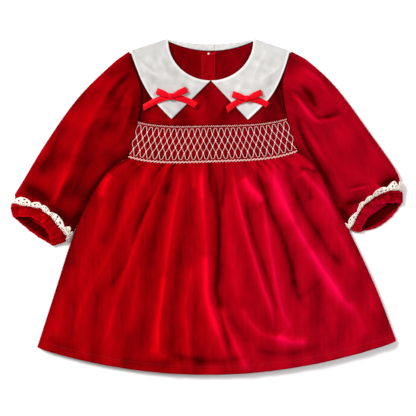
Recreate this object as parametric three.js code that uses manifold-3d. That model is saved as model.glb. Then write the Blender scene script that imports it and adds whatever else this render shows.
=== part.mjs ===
// A toddler's party dress in red velvet, laid flat on its back with its front up and its sleeves spread.
// It has a smocked chest panel, a gathered skirt, full sleeves with elastic cuffs and lace, and a white collar
// in two pointed halves, each with a ribbon bow.
//
// Millimetres. +X runs to the right as the dress is seen from above, +Y from the hem to the neck, +Z up.
// The origin is on the surface that the dress lies on, under the middle of the back skirt.
// Left and right are as seen from above.

import * as THREE from "three";
import { mergeVertices } from "three/addons/utils/BufferGeometryUtils.js";
import Module from "manifold-3d";

const { lerp, smoothstep, degToRad } = THREE.MathUtils;
const { PI, abs, cos, exp, min, sign, sin, sqrt } = Math;

// Cloth thicknesses and the gap left between pieces that are sewn together
const VELVET = 1.5;
const COLLAR_CLOTH = 1.2;
const CASING = 1.8;
const LACE = 1;
const RIBBON = 1;
const PLACKET_CLOTH = 1;
const GAP = 0.3;
const SEAM = 0.5; // half the space between two edges that meet at a seam

// Heights of the middle of each layer above the surface that the dress lies on
const FLOOR_LAYER = VELVET / 2;
const BACK_COLLAR_Z = COLLAR_CLOTH / 2;
const BACK_Z = COLLAR_CLOTH + GAP + VELVET / 2;
const SHOULDER_Z = BACK_Z + VELVET + GAP;
const CHEST_Z = 7.6;
const WAIST_Z = 6;
const SIDE_Z = 4.6;
const COLLAR_LIFT = VELVET / 2 + 2 * GAP + COLLAR_CLOTH / 2;

// Where those heights change: down from the shoulder, along Y, and in from the armhole
const FRONT_SLOPE = { belowShoulder: 45, waistY: 150, chestY: 185, fromSide: 30 };
const BACK_SLOPE = { waistY: 160, chestY: 190 };

// Neck, shoulders and armholes
const NECK = { x: -4.5, y: 317.4, halfWidth: 60, frontDrop: 56.7, backDrop: 13.6 };
const SHOULDER = { outLeft: -116.2, outRight: 105.6, y: 300.6 };
const YOKE_INSET = 1; // how far under the collar's seam the yoke stops
const ARMHOLE_TOP = 302;
const ARMHOLE = [
  { at: 0, left: -119.5, right: 109 },
  { at: 0.14, left: -112.6, right: 102.4 },
  { at: 0.32, left: -104, right: 97 },
  { at: 0.5, left: -103, right: 99.5 },
  { at: 0.65, left: -107, right: 103.5 },
  { at: 1, left: -122, right: 119 },
];
const ARMHOLE_FOOT = { left: 154, right: 162 };
const ARMHOLE_DEPTH = ARMHOLE_TOP - ARMHOLE_FOOT.left;

// The smocked panel and the waist seam under it
const PANEL_TOP = { leftY: 205, rightY: 209.5, sag: 8 };
const WAIST = { leftX: -121, leftY: 153, rightX: 118, rightY: 161, sag: 11 };
const PLEATS = 26;
const PLEAT_RISE = 1.2;

// The skirt's two side edges, from the waist to the hem, and how far its rows hang down between them
const SKIRT_SIDES = [
  { at: 0, leftX: WAIST.leftX, leftY: WAIST.leftY, rightX: WAIST.rightX, rightY: WAIST.rightY },
  { at: 0.05, leftX: -142, leftY: 140, rightX: 141.5, rightY: 143 },
  { at: 0.2, leftX: -172, leftY: 101, rightX: 164, rightY: 101 },
  { at: 0.42, leftX: -198, leftY: 42, rightX: 195, rightY: 40 },
  { at: 0.7, leftX: -222, leftY: -32, rightX: 227, rightY: -29 },
  { at: 1, leftX: -248, leftY: -113, rightX: 256, rightY: -104 },
];
const HEM_SAG = 42;
const SKIRT_ROLL = 14; // how far in from a side seam the front has risen to its full height
const SKIRT_LOFT = [
  { at: 0, z: WAIST_Z + 0.4 },
  { at: 0.06, z: 9.6 },
  { at: 0.2, z: 11 },
  { at: 0.6, z: 11 },
  { at: 0.92, z: 9.6 },
  { at: 1, z: 8.4 },
];
const GATHERS = { count: 24, height: 1.7, fade: 0.09 };
const BACK_GATHERS = { count: 11, height: 1.1, fade: 0.12 };
const GATHER_SWAY = { turn: 0.35, waves: 3 };

// The skirt's folds: where each crest lies across the skirt at the waist, the middle and the hem, as a share of
// its width, how high and how wide it is in millimetres, and the stretch of the skirt that it runs over
const SKIRT_FOLDS = [
  { top: 0.03, middle: 0.1, foot: 0.12, height: 4, width: 12, from: 0, to: 0.55 },
  { top: 0.17, middle: 0.15, foot: 0.1, height: 6, width: 15, from: 0, to: 1 },
  { top: 0.285, middle: 0.225, foot: 0.178, height: 5.5, width: 14, from: 0, to: 0.95 },
  { top: 0.25, middle: 0.262, foot: 0.258, height: 3.5, width: 9, from: 0.4, to: 0.95 },
  { top: 0.33, middle: 0.345, foot: 0.335, height: 7.5, width: 13, from: 0, to: 1 },
  { top: 0.42, middle: 0.42, foot: 0.415, height: 5, width: 11, from: 0, to: 1 },
  { top: 0.455, middle: 0.48, foot: 0.535, height: 7.5, width: 12, from: 0.1, to: 1 },
  { top: 0.53, middle: 0.56, foot: 0.58, height: 5, width: 12, from: 0, to: 0.9 },
  { top: 0.6, middle: 0.635, foot: 0.65, height: 7, width: 11, from: 0, to: 0.92 },
  { top: 0.67, middle: 0.69, foot: 0.735, height: 7, width: 12, from: 0.04, to: 1 },
  { top: 0.78, middle: 0.84, foot: 0.9, height: 8, width: 15, from: 0, to: 0.9 },
  { top: 0.94, middle: 0.94, foot: 0.955, height: 4.5, width: 12, from: 0.05, to: 0.85 },
];

// The outer edge of each half of the collar: over the front from the point to the shoulder, and under the back
// from the shoulder to the centre. The same shares serve both halves.
const COLLAR_FRONT = [
  { at: 0, leftX: -59.5, leftY: 207.4, rightX: 47.6, rightY: 206.4 },
  { at: 0.2, leftX: -77, leftY: 225.5, rightX: 63.5, rightY: 221.5 },
  { at: 0.4, leftX: -90, leftY: 241.5, rightX: 78, rightY: 237 },
  { at: 0.6, leftX: -101, leftY: 261, rightX: 89, rightY: 255 },
  { at: 0.8, leftX: -109.3, leftY: 281.5, rightX: 98.5, rightY: 277.5 },
  { at: 1, leftX: SHOULDER.outLeft, leftY: SHOULDER.y, rightX: SHOULDER.outRight, rightY: SHOULDER.y },
];
const COLLAR_BACK = [
  { at: 0, leftX: SHOULDER.outLeft, leftY: SHOULDER.y, rightX: SHOULDER.outRight, rightY: SHOULDER.y },
  { at: 0.35, leftX: -98, leftY: 272, rightX: 89, rightY: 272 },
  { at: 0.7, leftX: -54, leftY: 256, rightX: 46, rightY: 256 },
  { at: 0.9, leftX: -24, leftY: 262, rightX: 18, rightY: 262 },
  { at: 1, leftX: -10, leftY: 282, rightX: 5, rightY: 282 },
];
const COLLAR_SPLIT = 0.9; // half the space between the two halves at the centre front
const CENTRE_BACK = 0.7; // where the back opening lies across the dress

// The back opening: binding along the neck, a placket strip inside and a loop for a button
const BINDING = { rise: 8.2, roll: 1.6, inset: 2 };
const PLACKET = { left: -17.5, right: 2.2, top: 301, length: 120 };
const LOOP = { radius: 3.4, cord: 0.6, x: -2.2, y: 301.2 };

// Each sleeve's sections from the armhole to the cuff seam: the ends of each section on the two edges of the
// laid sleeve, the height of its top, and how far its top lies back up the sleeve
const SLEEVES = {
  left: [
    { at: 0, outX: -119.5, outY: 302, inX: -122, inY: 154, crown: 7.4, lean: 0 },
    { at: 0.1, outX: -141, outY: 286, inX: -139.5, inY: 144.5, crown: 14, lean: 0 },
    { at: 0.35, outX: -190, outY: 237.5, inX: -162, inY: 119, crown: 18, lean: 0 },
    { at: 0.62, outX: -236, outY: 173, inX: -180, inY: 94, crown: 19.5, lean: 0 },
    { at: 0.85, outX: -272, outY: 113, inX: -196.5, inY: 62, crown: 21, lean: 6 },
    { at: 0.95, outX: -282.5, outY: 95, inX: -205.5, inY: 46.5, crown: 18, lean: 14 },
    { at: 1, outX: -284.5, outY: 84, inX: -213, inY: 37, crown: 14.5, lean: 19 },
  ],
  right: [
    { at: 0, outX: 109, outY: 302, inX: 119, inY: 162, crown: 7.4, lean: 0 },
    { at: 0.1, outX: 131, outY: 289.5, inX: 139.5, inY: 149, crown: 14, lean: 0 },
    { at: 0.35, outX: 172, outY: 250.5, inX: 157, inY: 124.5, crown: 18, lean: 0 },
    { at: 0.62, outX: 221, outY: 184.5, inX: 173.5, inY: 89.5, crown: 19.5, lean: 0 },
    { at: 0.85, outX: 254, outY: 137, inX: 184.5, inY: 70, crown: 21, lean: 6 },
    { at: 0.95, outX: 262.5, outY: 115.5, inX: 191, inY: 60.5, crown: 18, lean: 14 },
    { at: 1, outX: 264, outY: 104, inX: 194, inY: 55.5, crown: 14.5, lean: 19 },
  ],
};
// The folds on top of each sleeve: a crest's place across the sleeve at the armhole end and the cuff end
const SLEEVE_FOLDS = {
  left: [
    { top: 0.2, foot: 0.12, height: 3, width: 0.07, from: 0, to: 0.35 },
    { top: 0.5, foot: 0.46, height: 4, width: 0.1, from: 0.2, to: 0.95 },
    { top: 0.42, foot: 0.85, height: 4.5, width: 0.09, from: 0, to: 0.6 },
  ],
  right: [
    { top: 0.22, foot: 0.3, height: 4, width: 0.09, from: 0, to: 0.5 },
    { top: 0.5, foot: 0.36, height: 3, width: 0.07, from: 0, to: 0.4 },
    { top: 0.45, foot: 0.83, height: 4.5, width: 0.09, from: 0.05, to: 0.9 },
  ],
};
const SLEEVE_GATHERS = { waves: 8, height: 1.6, from: 0.84 };
const FULLNESS = { armhole: 0.38, arm: 0.6 }; // the lower it is, the squarer the top of a laid tube
const SLEEVE_EDGE_Z = 3; // height of a laid sleeve's rolled edge
const SLEEVE_ROLL = 4; // how far in from that edge the underside is flat
const EDGE_SHARES = [0, 0.012, 0.035, 0.08]; // columns set close together along a laid tube's two edges

// The cuffs, past the ends of the sleeves, and the lace on the sleeve just above them
const CUFFS = {
  left: { outX: -282, outY: 70, inX: -227.5, inY: 30, crown: 11.5, lean: 18, reach: 2 },
  right: { outX: 264.5, outY: 90, inX: 206, inY: 49, crown: 11.5, lean: 18, reach: 9 },
};
const CUFF_SEAM = 1.3; // from the end of the sleeve to the start of the cuff
const CUFF_WAVES = { count: 7, height: 0.8 };
const LACE_EDGE = { from: 0.935, to: 0.99, scallops: 12, scallop: 0.016 };
const LACE_STACK = LACE + 2 * GAP; // the room that the lace takes under the sleeve

// The bows: where each knot lies, and where each loop and tail ends, measured from the knot
const BOWS = {
  left: { x: -60, y: 238, loops: [[-20, 8], [22, 10]], tails: [[-39, -15], [35, -12]] },
  right: { x: 46, y: 235, loops: [[-20, 6.5], [20.5, 9]], tails: [[-28, -15], [29, -8.5]] },
};
const RIBBON_WIDTH = 8;
const LOOP_HALF_HEIGHT = 1.7;
const KNOT = { long: 4.2, wide: 4.6, high: 2.3, lift: 0.4 };
const KNOT_PINCH = 0.55; // the ribbon's width at the knot as a share of its whole width
const TAIL = { bend: 2.5, lift: 1.2 };

// How finely each piece is divided
const FINE = {
  skirt: 58,
  skirtRows: 11,
  skirtEdge: 4,
  backSkirt: 34,
  backSkirtRows: 6,
  panelRows: 3,
  perPleat: 3,
  yoke: 32,
  yokeRows: 5,
  back: 9,
  backRows: 7,
  collar: 6,
  collarFront: 9,
  collarBack: 7,
  binding: 12,
  sleeveTop: 14,
  sleeveSole: 6,
  cuffTop: 18,
  cuffSole: 8,
  cuffRows: 2,
  ribbonLoop: 14,
  ribbonTail: 6,
};
const SLEEVE_ROWS = [0, 0.035, 0.1, 0.24, 0.4, 0.57, 0.72, 0.83, 0.9, 0.945, 0.975, 1];

const velvet = new THREE.MeshStandardMaterial({ color: 0xa3061a, roughness: 0.85, metalness: 0 });
const white = new THREE.MeshStandardMaterial({ color: 0xf1efea, roughness: 0.6, metalness: 0 });
const laceWhite = new THREE.MeshStandardMaterial({ color: 0xefe3d3, roughness: 0.8, metalness: 0 });
const ribbonRed = new THREE.MeshStandardMaterial({ color: 0xe00d1c, roughness: 0.45, metalness: 0 });

const dress = new THREE.Group();
const SIDES = ["left", "right"];
const outward = { left: -1, right: 1 };

// A list of count + 1 values worked out from shares that run evenly from 0 to 1.
function spread(count, make) {
  return Array.from({ length: count + 1 }, (_, k) => make(k / count));
}

// One column of a table at a share between its first and last rows, on a smooth curve through them.
function read(table, column, at) {
  const last = table.length - 1;
  let k = 0;
  while (k < last - 1 && at > table[k + 1].at) k += 1;
  const slope = (i) => {
    const before = table[Math.max(i - 1, 0)];
    const after = table[min(i + 1, last)];
    return (after[column] - before[column]) / (after.at - before.at);
  };
  const span = table[k + 1].at - table[k].at;
  const u = (at - table[k].at) / span;
  const rise = u * u * (3 - 2 * u);
  return (
    lerp(table[k][column], table[k + 1][column], rise) +
    span * u * (1 - u) * ((1 - u) * slope(k) - u * slope(k + 1))
  );
}

// The unit normals of a grid of points whose rows run down a piece. round joins each row's ends.
function normalsOf(rows, round) {
  const m = rows.length;
  const n = rows[0].length;
  const across = (j) => (round ? (j + n) % n : min(Math.max(j, 0), n - 1));
  const down = (i) => min(Math.max(i, 0), m - 1);
  return rows.map((row, i) =>
    row.map((_, j) => {
      const along = rows[down(i + 1)][j].clone().sub(rows[down(i - 1)][j]);
      const over = row[across(j + 1)].clone().sub(row[across(j - 1)]);
      return along.cross(over).normalize();
    }),
  );
}

// A closed wall of cloth about a grid of points in its middle, with its outer side where the normals point.
// raise(i, j) lifts outer points. upright measures the thickness straight up. standing is for a piece whose two
// sides stand on the surface and whose first row ends along a seam.
function clothWall(rows, thick, { round = false, raise = () => 0, upright = false, standing = false } = {}) {
  const m = rows.length;
  const n = rows[0].length;
  const across = (j) => (round ? (j + n) % n : j);
  const normals = normalsOf(rows, round);
  const up = new THREE.Vector3(0, 0, 1);
  const positions = [];
  for (const side of [1, -1]) {
    for (let i = 0; i < m; i += 1) {
      for (let j = 0; j < n; j += 1) {
        const out = (side * thick) / 2 + (side > 0 ? raise(i, j) : 0);
        const normal = upright ? up : normals[i][j];
        if (standing && i === 0) normal.setY(0).normalize();
        if (standing && (j === 0 || j === n - 1)) normal.setZ(0).normalize();
        positions.push(...rows[i][j].clone().addScaledVector(normal, out).toArray());
      }
    }
  }
  const outer = (i, j) => i * n + across(j);
  const inner = (i, j) => m * n + outer(i, j);
  const faces = [];
  const quad = (a, b, c, d) => faces.push(a, b, c, a, c, d);
  const columns = round ? n : n - 1;
  for (let i = 0; i < m - 1; i += 1) {
    for (let j = 0; j < columns; j += 1) {
      quad(outer(i, j), outer(i + 1, j), outer(i + 1, j + 1), outer(i, j + 1));
      quad(inner(i, j), inner(i, j + 1), inner(i + 1, j + 1), inner(i + 1, j));
    }
    if (!round) {
      quad(outer(i + 1, 0), outer(i, 0), inner(i, 0), inner(i + 1, 0));
      quad(outer(i, n - 1), outer(i + 1, n - 1), inner(i + 1, n - 1), inner(i, n - 1));
    }
  }
  for (let j = 0; j < columns; j += 1) {
    quad(outer(0, j), outer(0, j + 1), inner(0, j + 1), inner(0, j));
    quad(outer(m - 1, j + 1), outer(m - 1, j), inner(m - 1, j), inner(m - 1, j + 1));
  }
  const geometry = new THREE.BufferGeometry();
  geometry.setAttribute("position", new THREE.Float32BufferAttribute(positions, 3));
  geometry.setIndex(faces);
  return geometry;
}

function add(name, geometry, material) {
  const mesh = new THREE.Mesh(geometry, material);
  mesh.name = name;
  dress.add(mesh);
  return mesh;
}

// The pieces of the right half run the other way across, so their rows are turned to keep their outer side out.
function facing(side, rows) {
  return side === "left" ? rows : rows.map((row) => [...row].reverse());
}

// Neck, shoulder and armhole lines

function armholeX(side, y) {
  return read(ARMHOLE, side, (ARMHOLE_TOP - y) / ARMHOLE_DEPTH);
}

function armholePoint(side, at, clear) {
  const x = read(ARMHOLE, side, at) + outward[side] * clear;
  return new THREE.Vector3(x, lerp(ARMHOLE_TOP, ARMHOLE_FOOT[side], at), 0);
}

function shoulderY(x) {
  const past = Math.max(abs(x - NECK.x) - NECK.halfWidth, 0);
  const run = SHOULDER.outRight - NECK.x - NECK.halfWidth;
  return NECK.y - ((NECK.y - SHOULDER.y) * past) / run;
}

// A point of the front neckline, turned from the centre front towards one shoulder; grow widens the curve.
function frontNeck(side, share, grow) {
  const turn = (share * PI) / 2;
  const x = NECK.x + outward[side] * (NECK.halfWidth + grow) * sin(turn);
  return new THREE.Vector3(x, NECK.y - (NECK.frontDrop + grow) * cos(turn), 0);
}

// A curve across the back of the neck that drops below the shoulder points at its middle.
function backNeckY(x, drop) {
  return NECK.y - drop * (1 - min(((x - NECK.x) / NECK.halfWidth) ** 2, 1));
}

// The height of the middle of the front layer over a place on the bodice.
function frontLift(x, y) {
  const fromSide = min(x - armholeX("left", y), armholeX("right", y) - x);
  const chest = lerp(SHOULDER_Z, CHEST_Z, smoothstep(shoulderY(x) - y, 0, FRONT_SLOPE.belowShoulder));
  const body = lerp(WAIST_Z, chest, smoothstep(y, FRONT_SLOPE.waistY, FRONT_SLOPE.chestY));
  return lerp(min(SIDE_Z, body), body, smoothstep(fromSide, 0, FRONT_SLOPE.fromSide));
}

function backLift(y) {
  return lerp(FLOOR_LAYER, BACK_Z, smoothstep(y, BACK_SLOPE.waistY, BACK_SLOPE.chestY));
}

// The waist seam and the top of the smocked panel, from the left to the right

function hang(share, sag, flatness) {
  return sag * (1 - abs(2 * share - 1) ** flatness);
}

function waistPoint(share, clear) {
  const y = lerp(WAIST.leftY, WAIST.rightY, share) - hang(share, WAIST.sag, 4);
  return new THREE.Vector3(lerp(WAIST.leftX, WAIST.rightX, share), y + clear, 0);
}

function panelTopPoint(share, clear) {
  const left = armholeX("left", PANEL_TOP.leftY) + SEAM;
  const right = armholeX("right", PANEL_TOP.rightY) - SEAM;
  const y = lerp(PANEL_TOP.leftY, PANEL_TOP.rightY, share) - hang(share, PANEL_TOP.sag, 4);
  return new THREE.Vector3(lerp(left, right, share), y + clear, 0);
}

// Skirt

function crossing(fold, at) {
  const bend = fold.middle - (fold.top + fold.foot) / 2;
  return lerp(fold.top, fold.foot, at) + 4 * bend * at * (1 - at);
}

function window(at, from, to) {
  const start = from > 0 ? smoothstep(at, from, from + 0.15) : 1;
  const end = to < 1 ? 1 - smoothstep(at, to - 0.2, to) : 1;
  return start * end;
}

// The folds' height at a share down the skirt and a share across it.
function foldHeight(at, share, width) {
  return SKIRT_FOLDS.reduce((sum, fold) => {
    const off = ((share - crossing(fold, at)) * width) / (fold.width * lerp(0.6, 1, at));
    return sum + fold.height * lerp(0.75, 1, at) * window(at, fold.from, fold.to) * exp(-off * off);
  }, 0);
}

function gather(style, at, share) {
  const sway = GATHER_SWAY.turn * sin(2 * PI * GATHER_SWAY.waves * share);
  return style.height * exp(-at / style.fade) * (0.5 + 0.5 * cos(2 * PI * style.count * share + sway));
}

function skirtRow(at) {
  const left = new THREE.Vector2(read(SKIRT_SIDES, "leftX", at), read(SKIRT_SIDES, "leftY", at));
  const right = new THREE.Vector2(read(SKIRT_SIDES, "rightX", at), read(SKIRT_SIDES, "rightY", at));
  const sag = lerp(WAIST.sag, HEM_SAG, at);
  const flatness = lerp(4, 2, min(at * 4, 1));
  return { left, right, sag, flatness, width: right.x - left.x };
}

function skirtPoint(row, share, z) {
  const x = lerp(row.left.x, row.right.x, share);
  return new THREE.Vector3(x, lerp(row.left.y, row.right.y, share) - hang(share, row.sag, row.flatness), z);
}

// Distances in from the left seam that follow the rolled edges closely, with how far each edge has risen.
function skirtColumns(width) {
  const roll = spread(FINE.skirtEdge, (k) => {
    const turn = (k * PI) / 2;
    return { in: SKIRT_ROLL * (1 - cos(turn)), rise: sin(turn) };
  });
  const middle = spread(FINE.skirt, (k) => ({ in: lerp(SKIRT_ROLL, width - SKIRT_ROLL, k), rise: 1 }));
  const other = roll.map(({ in: d, rise }) => ({ in: width - d, rise })).reverse();
  return [...roll.slice(0, -1), ...middle, ...other.slice(1)];
}

// Shares down the skirt, closer together near the waist, where the gathers are.
function skirtShare(k) {
  return lerp(k * k, k, 0.45);
}

function frontSkirt() {
  const rows = spread(FINE.skirtRows, (k) => {
    const at = skirtShare(k);
    const row = skirtRow(at);
    return skirtColumns(row.width).map(({ in: d, rise }) => {
      const share = d / row.width;
      const loft = read(SKIRT_LOFT, "z", at) + foldHeight(at, share, row.width) + gather(GATHERS, at, share);
      const point = skirtPoint(row, share, rise * loft);
      if (k === 0) point.y -= SEAM;
      return point;
    });
  });
  add("skirt_front", clothWall(rows, VELVET, { standing: true }), velvet);
}

function backSkirt() {
  const inset = VELVET / 2 + 4 * GAP;
  const rows = spread(FINE.backSkirtRows, (k) => {
    const at = skirtShare(k);
    const row = skirtRow(at);
    row.left.x += inset;
    row.right.x -= inset;
    return spread(FINE.backSkirt, (share) => {
      const inside = smoothstep(min(share, 1 - share), 0, 0.08) * (1 - smoothstep(at, 0.3, 0.5));
      const point = skirtPoint(row, share, FLOOR_LAYER + inside * gather(BACK_GATHERS, at, share));
      if (k === 0) point.y -= SEAM;
      return point;
    });
  });
  add("skirt_back", clothWall(rows, VELVET), velvet);
}

// Bodice

function smockedPanel() {
  const rows = spread(FINE.panelRows, (down) =>
    spread(PLEATS * FINE.perPleat, (share) => {
      const point = panelTopPoint(share, -SEAM).lerp(waistPoint(share, SEAM), down);
      point.z = frontLift(point.x, point.y);
      return point;
    }),
  );
  const raise = (i, j) => PLEAT_RISE * (j % FINE.perPleat === 0 ? 0 : 1);
  add("smocked_panel", clothWall(rows, VELVET, { raise, upright: true }), velvet);
}

// The outer edge of the front yoke: down the left armhole, along the smocked panel and up the right armhole.
function yokeOuter(share) {
  const corner = 0.3;
  const foot = (ARMHOLE_TOP - PANEL_TOP.leftY) / ARMHOLE_DEPTH;
  if (share < corner) return armholePoint("left", (foot * share) / corner, -SEAM);
  if (share > 1 - corner) return armholePoint("right", (foot * (1 - share)) / corner, -SEAM);
  return panelTopPoint((share - corner) / (1 - 2 * corner), SEAM);
}

function frontYoke() {
  const rows = spread(FINE.yokeRows, (out) =>
    spread(FINE.yoke, (share) => {
      const neck = frontNeck(share < 0.5 ? "left" : "right", abs(1 - 2 * share), YOKE_INSET);
      const point = neck.lerp(yokeOuter(share), out);
      point.y = min(point.y, shoulderY(point.x) - GAP);
      point.z = frontLift(point.x, point.y);
      return point;
    }),
  );
  add("yoke_front", clothWall(rows, VELVET, { upright: true }), velvet);
}

// One half of the bodice's back, from its armhole to the back opening.
function bodiceBack(side) {
  const centre = CENTRE_BACK + outward[side] * (SEAM / 2);
  const atWaist = (x) => waistPoint((x - WAIST.leftX) / (WAIST.rightX - WAIST.leftX), SEAM);
  const rows = spread(FINE.backRows, (down) =>
    spread(FINE.back, (share) => {
      const topX = lerp(read(ARMHOLE, side, 0) - outward[side] * SEAM, centre, share);
      const neckY = backNeckY(topX, NECK.backDrop - VELVET);
      const topY = abs(topX - NECK.x) > NECK.halfWidth ? shoulderY(topX) : neckY;
      const foot = atWaist(lerp(WAIST[side + "X"], centre, share));
      const edge = armholePoint(side, down, -SEAM);
      const point = new THREE.Vector3(lerp(edge.x, centre, share), lerp(topY - GAP, foot.y, down), 0);
      point.z = backLift(point.y);
      return point;
    }),
  );
  add("back_" + side, clothWall(facing(side, rows), VELVET, { upright: true }), velvet);
}

function placket() {
  const z = BACK_Z + VELVET / 2 + GAP + PLACKET_CLOTH / 2;
  const rows = spread(4, (down) =>
    spread(3, (share) => {
      const x = lerp(PLACKET.left, PLACKET.right, share);
      return new THREE.Vector3(x, PLACKET.top - PLACKET.length * down, z);
    }),
  );
  add("placket", clothWall(rows, PLACKET_CLOTH), velvet);
}

// Collar and neck

// One half of the collar: over the front, round the shoulder fold and under the back.
function collar(side) {
  const neckOf = (share) => frontNeck(side, share, 0);
  const outerOf = (table, at) => new THREE.Vector3(read(table, side + "X", at), read(table, side + "Y", at), 0);
  const front = spread(FINE.collarFront, (at) =>
    spread(FINE.collar, (out) => {
      const neck = neckOf(at);
      if (at === 0) neck.x += outward[side] * COLLAR_SPLIT;
      const point = neck.lerp(outerOf(COLLAR_FRONT, at), out);
      point.z = frontLift(point.x, min(point.y, shoulderY(point.x))) + COLLAR_LIFT;
      return point;
    }),
  );
  const shoulder = front[front.length - 1];
  const foldLine = shoulder[FINE.collar].clone().sub(shoulder[0]).setZ(0).normalize();
  const away = new THREE.Vector3(-foldLine.y, foldLine.x, 0);
  if (away.y < 0) away.negate();
  const fold = [60, 30, 0, -30, -60, -90].map((degrees) =>
    shoulder.map((top) => {
      const radius = (top.z - BACK_COLLAR_Z) / 2;
      const turn = degToRad(degrees);
      const point = top.clone().addScaledVector(away, radius * cos(turn));
      return point.setZ(BACK_COLLAR_Z + radius * (1 + sin(turn)));
    }),
  );
  const centre = CENTRE_BACK + outward[side] * COLLAR_SPLIT;
  const back = spread(FINE.collarBack, (at) =>
    spread(FINE.collar, (out) => {
      const x = lerp(neckOf(1).x, centre, at);
      const neck = new THREE.Vector3(x, backNeckY(x, BINDING.rise), 0);
      return neck.lerp(outerOf(COLLAR_BACK, at), out).setZ(BACK_COLLAR_Z);
    }),
  );
  const rows = facing(side, [...front, ...fold, ...back.slice(1)]);
  add("collar_" + side, clothWall(rows, COLLAR_CLOTH), white);
}

// The strip that finishes the back of the neck, from a shoulder to the back opening.
function neckBinding(side) {
  const z = BACK_Z + VELVET / 2 + GAP + COLLAR_CLOTH / 2;
  const shoulderX = NECK.x + outward[side] * (NECK.halfWidth - BINDING.inset);
  const centre = CENTRE_BACK + outward[side] * SEAM;
  const profile = [
    { up: 1, z: z - BINDING.roll },
    { up: 0.88, z: z - 0.5 },
    { up: 0.6, z },
    { up: 0, z },
  ];
  const rows = profile.map((level) =>
    spread(FINE.binding, (share) => {
      const x = lerp(shoulderX, centre, share);
      const top = backNeckY(x, BINDING.rise - BINDING.roll) + BINDING.roll;
      return new THREE.Vector3(x, lerp(backNeckY(x, NECK.backDrop), top, level.up), level.z);
    }),
  );
  add("neck_binding_" + side, clothWall(facing(side, rows), COLLAR_CLOTH), white);
}

function buttonLoop() {
  const z = BACK_Z + VELVET / 2 + GAP + PLACKET_CLOTH + GAP + LOOP.cord;
  const path = new THREE.CatmullRomCurve3(
    spread(8, (k) => {
      const turn = k * PI;
      return new THREE.Vector3(LOOP.x - LOOP.radius * cos(turn), LOOP.y - LOOP.radius * sin(turn), z);
    }),
  );
  const section = new THREE.Shape().absarc(0, 0, LOOP.cord, 0, 2 * PI);
  const cord = new THREE.ExtrudeGeometry(section, { steps: 10, curveSegments: 5, extrudePath: path });
  add("button_loop", cord, ribbonRed);
}

// Sleeves, cuffs and lace

// Shares from one edge of a laid tube to the other, closer together at both edges.
function edgedShares(middle) {
  const [inset] = EDGE_SHARES.slice(-1);
  const far = EDGE_SHARES.map((share) => 1 - share).reverse();
  return [...EDGE_SHARES, ...spread(middle, (k) => lerp(inset, 1 - inset, k)).slice(1, -1), ...far];
}

// The columns round a laid tube: across its top from the outer edge to the inner one, then back underneath.
function tubeColumns(top, sole) {
  const over = edgedShares(top).slice(0, -1).map((share) => ({ share, over: true }));
  const under = edgedShares(sole).slice(0, -1).map((share) => ({ share: 1 - share, over: false }));
  return [...over, ...under];
}

// The unit vector from a sleeve towards its cuff's mouth, square to the cuff seam.
function mouthway(side) {
  const end = SLEEVES[side].at(-1);
  const seam = new THREE.Vector3(end.inX - end.outX, end.inY - end.outY, 0).normalize();
  const out = new THREE.Vector3(seam.y, -seam.x, 0);
  return out.y > 0 ? out.negate() : out;
}

// A point of a laid tube whose two edges lie at outer and inner. share runs from one edge to the other, over
// tells its top from its sole, and lean and reach move the top back and the sole forward along mouth.
function tubePoint({ outer, inner, crown, sole, lean, reach, mouth, fullness = FULLNESS.arm }, share, over) {
  const width = outer.distanceTo(inner);
  const swing = sin(PI * share);
  const point = outer.clone().lerp(inner, share);
  const edge = sole + SLEEVE_EDGE_Z - FLOOR_LAYER;
  if (over) {
    return point.addScaledVector(mouth, -lean * swing).setZ(edge + (crown - edge) * swing ** fullness);
  }
  const fromEdge = min((min(share, 1 - share) * width) / SLEEVE_ROLL, 1);
  const z = edge - (edge - sole) * sqrt(1 - (1 - fromEdge) ** 2);
  return point.addScaledVector(mouth, reach * swing).setZ(z);
}

function sleeveFoldHeight(side, at, share) {
  return SLEEVE_FOLDS[side].reduce((sum, fold) => {
    const off = (share - lerp(fold.top, fold.foot, at)) / fold.width;
    return sum + fold.height * window(at, fold.from, fold.to) * exp(-off * off);
  }, 0);
}

// A point in the middle of a sleeve's wall.
function sleevePoint(side, at, share, over) {
  const table = SLEEVES[side];
  const section = {
    outer: new THREE.Vector3(read(table, "outX", at), read(table, "outY", at), 0),
    inner: new THREE.Vector3(read(table, "inX", at), read(table, "inY", at), 0),
    crown: read(table, "crown", at),
    sole: FLOOR_LAYER + LACE_STACK * smoothstep(at, 0.76, 0.89),
    lean: read(table, "lean", at),
    reach: 0,
    mouth: mouthway(side),
    fullness: lerp(FULLNESS.armhole, FULLNESS.arm, smoothstep(at, 0, 0.12)),
  };
  const point = tubePoint(section, share, over);
  const straight = lerp(read(ARMHOLE, side, 0), read(ARMHOLE, side, 1), share);
  point.x += (read(ARMHOLE, side, share) - straight) * (1 - smoothstep(at, 0, 0.3));
  point.x += outward[side] * (SEAM + GAP) * (1 - smoothstep(at, 0, 0.1));
  if (over) {
    const swing = sin(PI * share);
    const ripple = SLEEVE_GATHERS.height * smoothstep(at, SLEEVE_GATHERS.from, 1);
    point.z += swing * sleeveFoldHeight(side, at, share);
    point.z += swing * ripple * (0.5 - 0.5 * cos(2 * PI * SLEEVE_GATHERS.waves * share));
  }
  return point;
}

function sleeveRings(side) {
  const columns = tubeColumns(FINE.sleeveTop, FINE.sleeveSole);
  const ring = (at) => columns.map(({ share, over }) => sleevePoint(side, at, share, over));
  return facing(side, SLEEVE_ROWS.map(ring));
}

function sleeve(side) {
  add("sleeve_" + side, clothWall(sleeveRings(side), VELVET, { round: true }), velvet);
}

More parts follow.
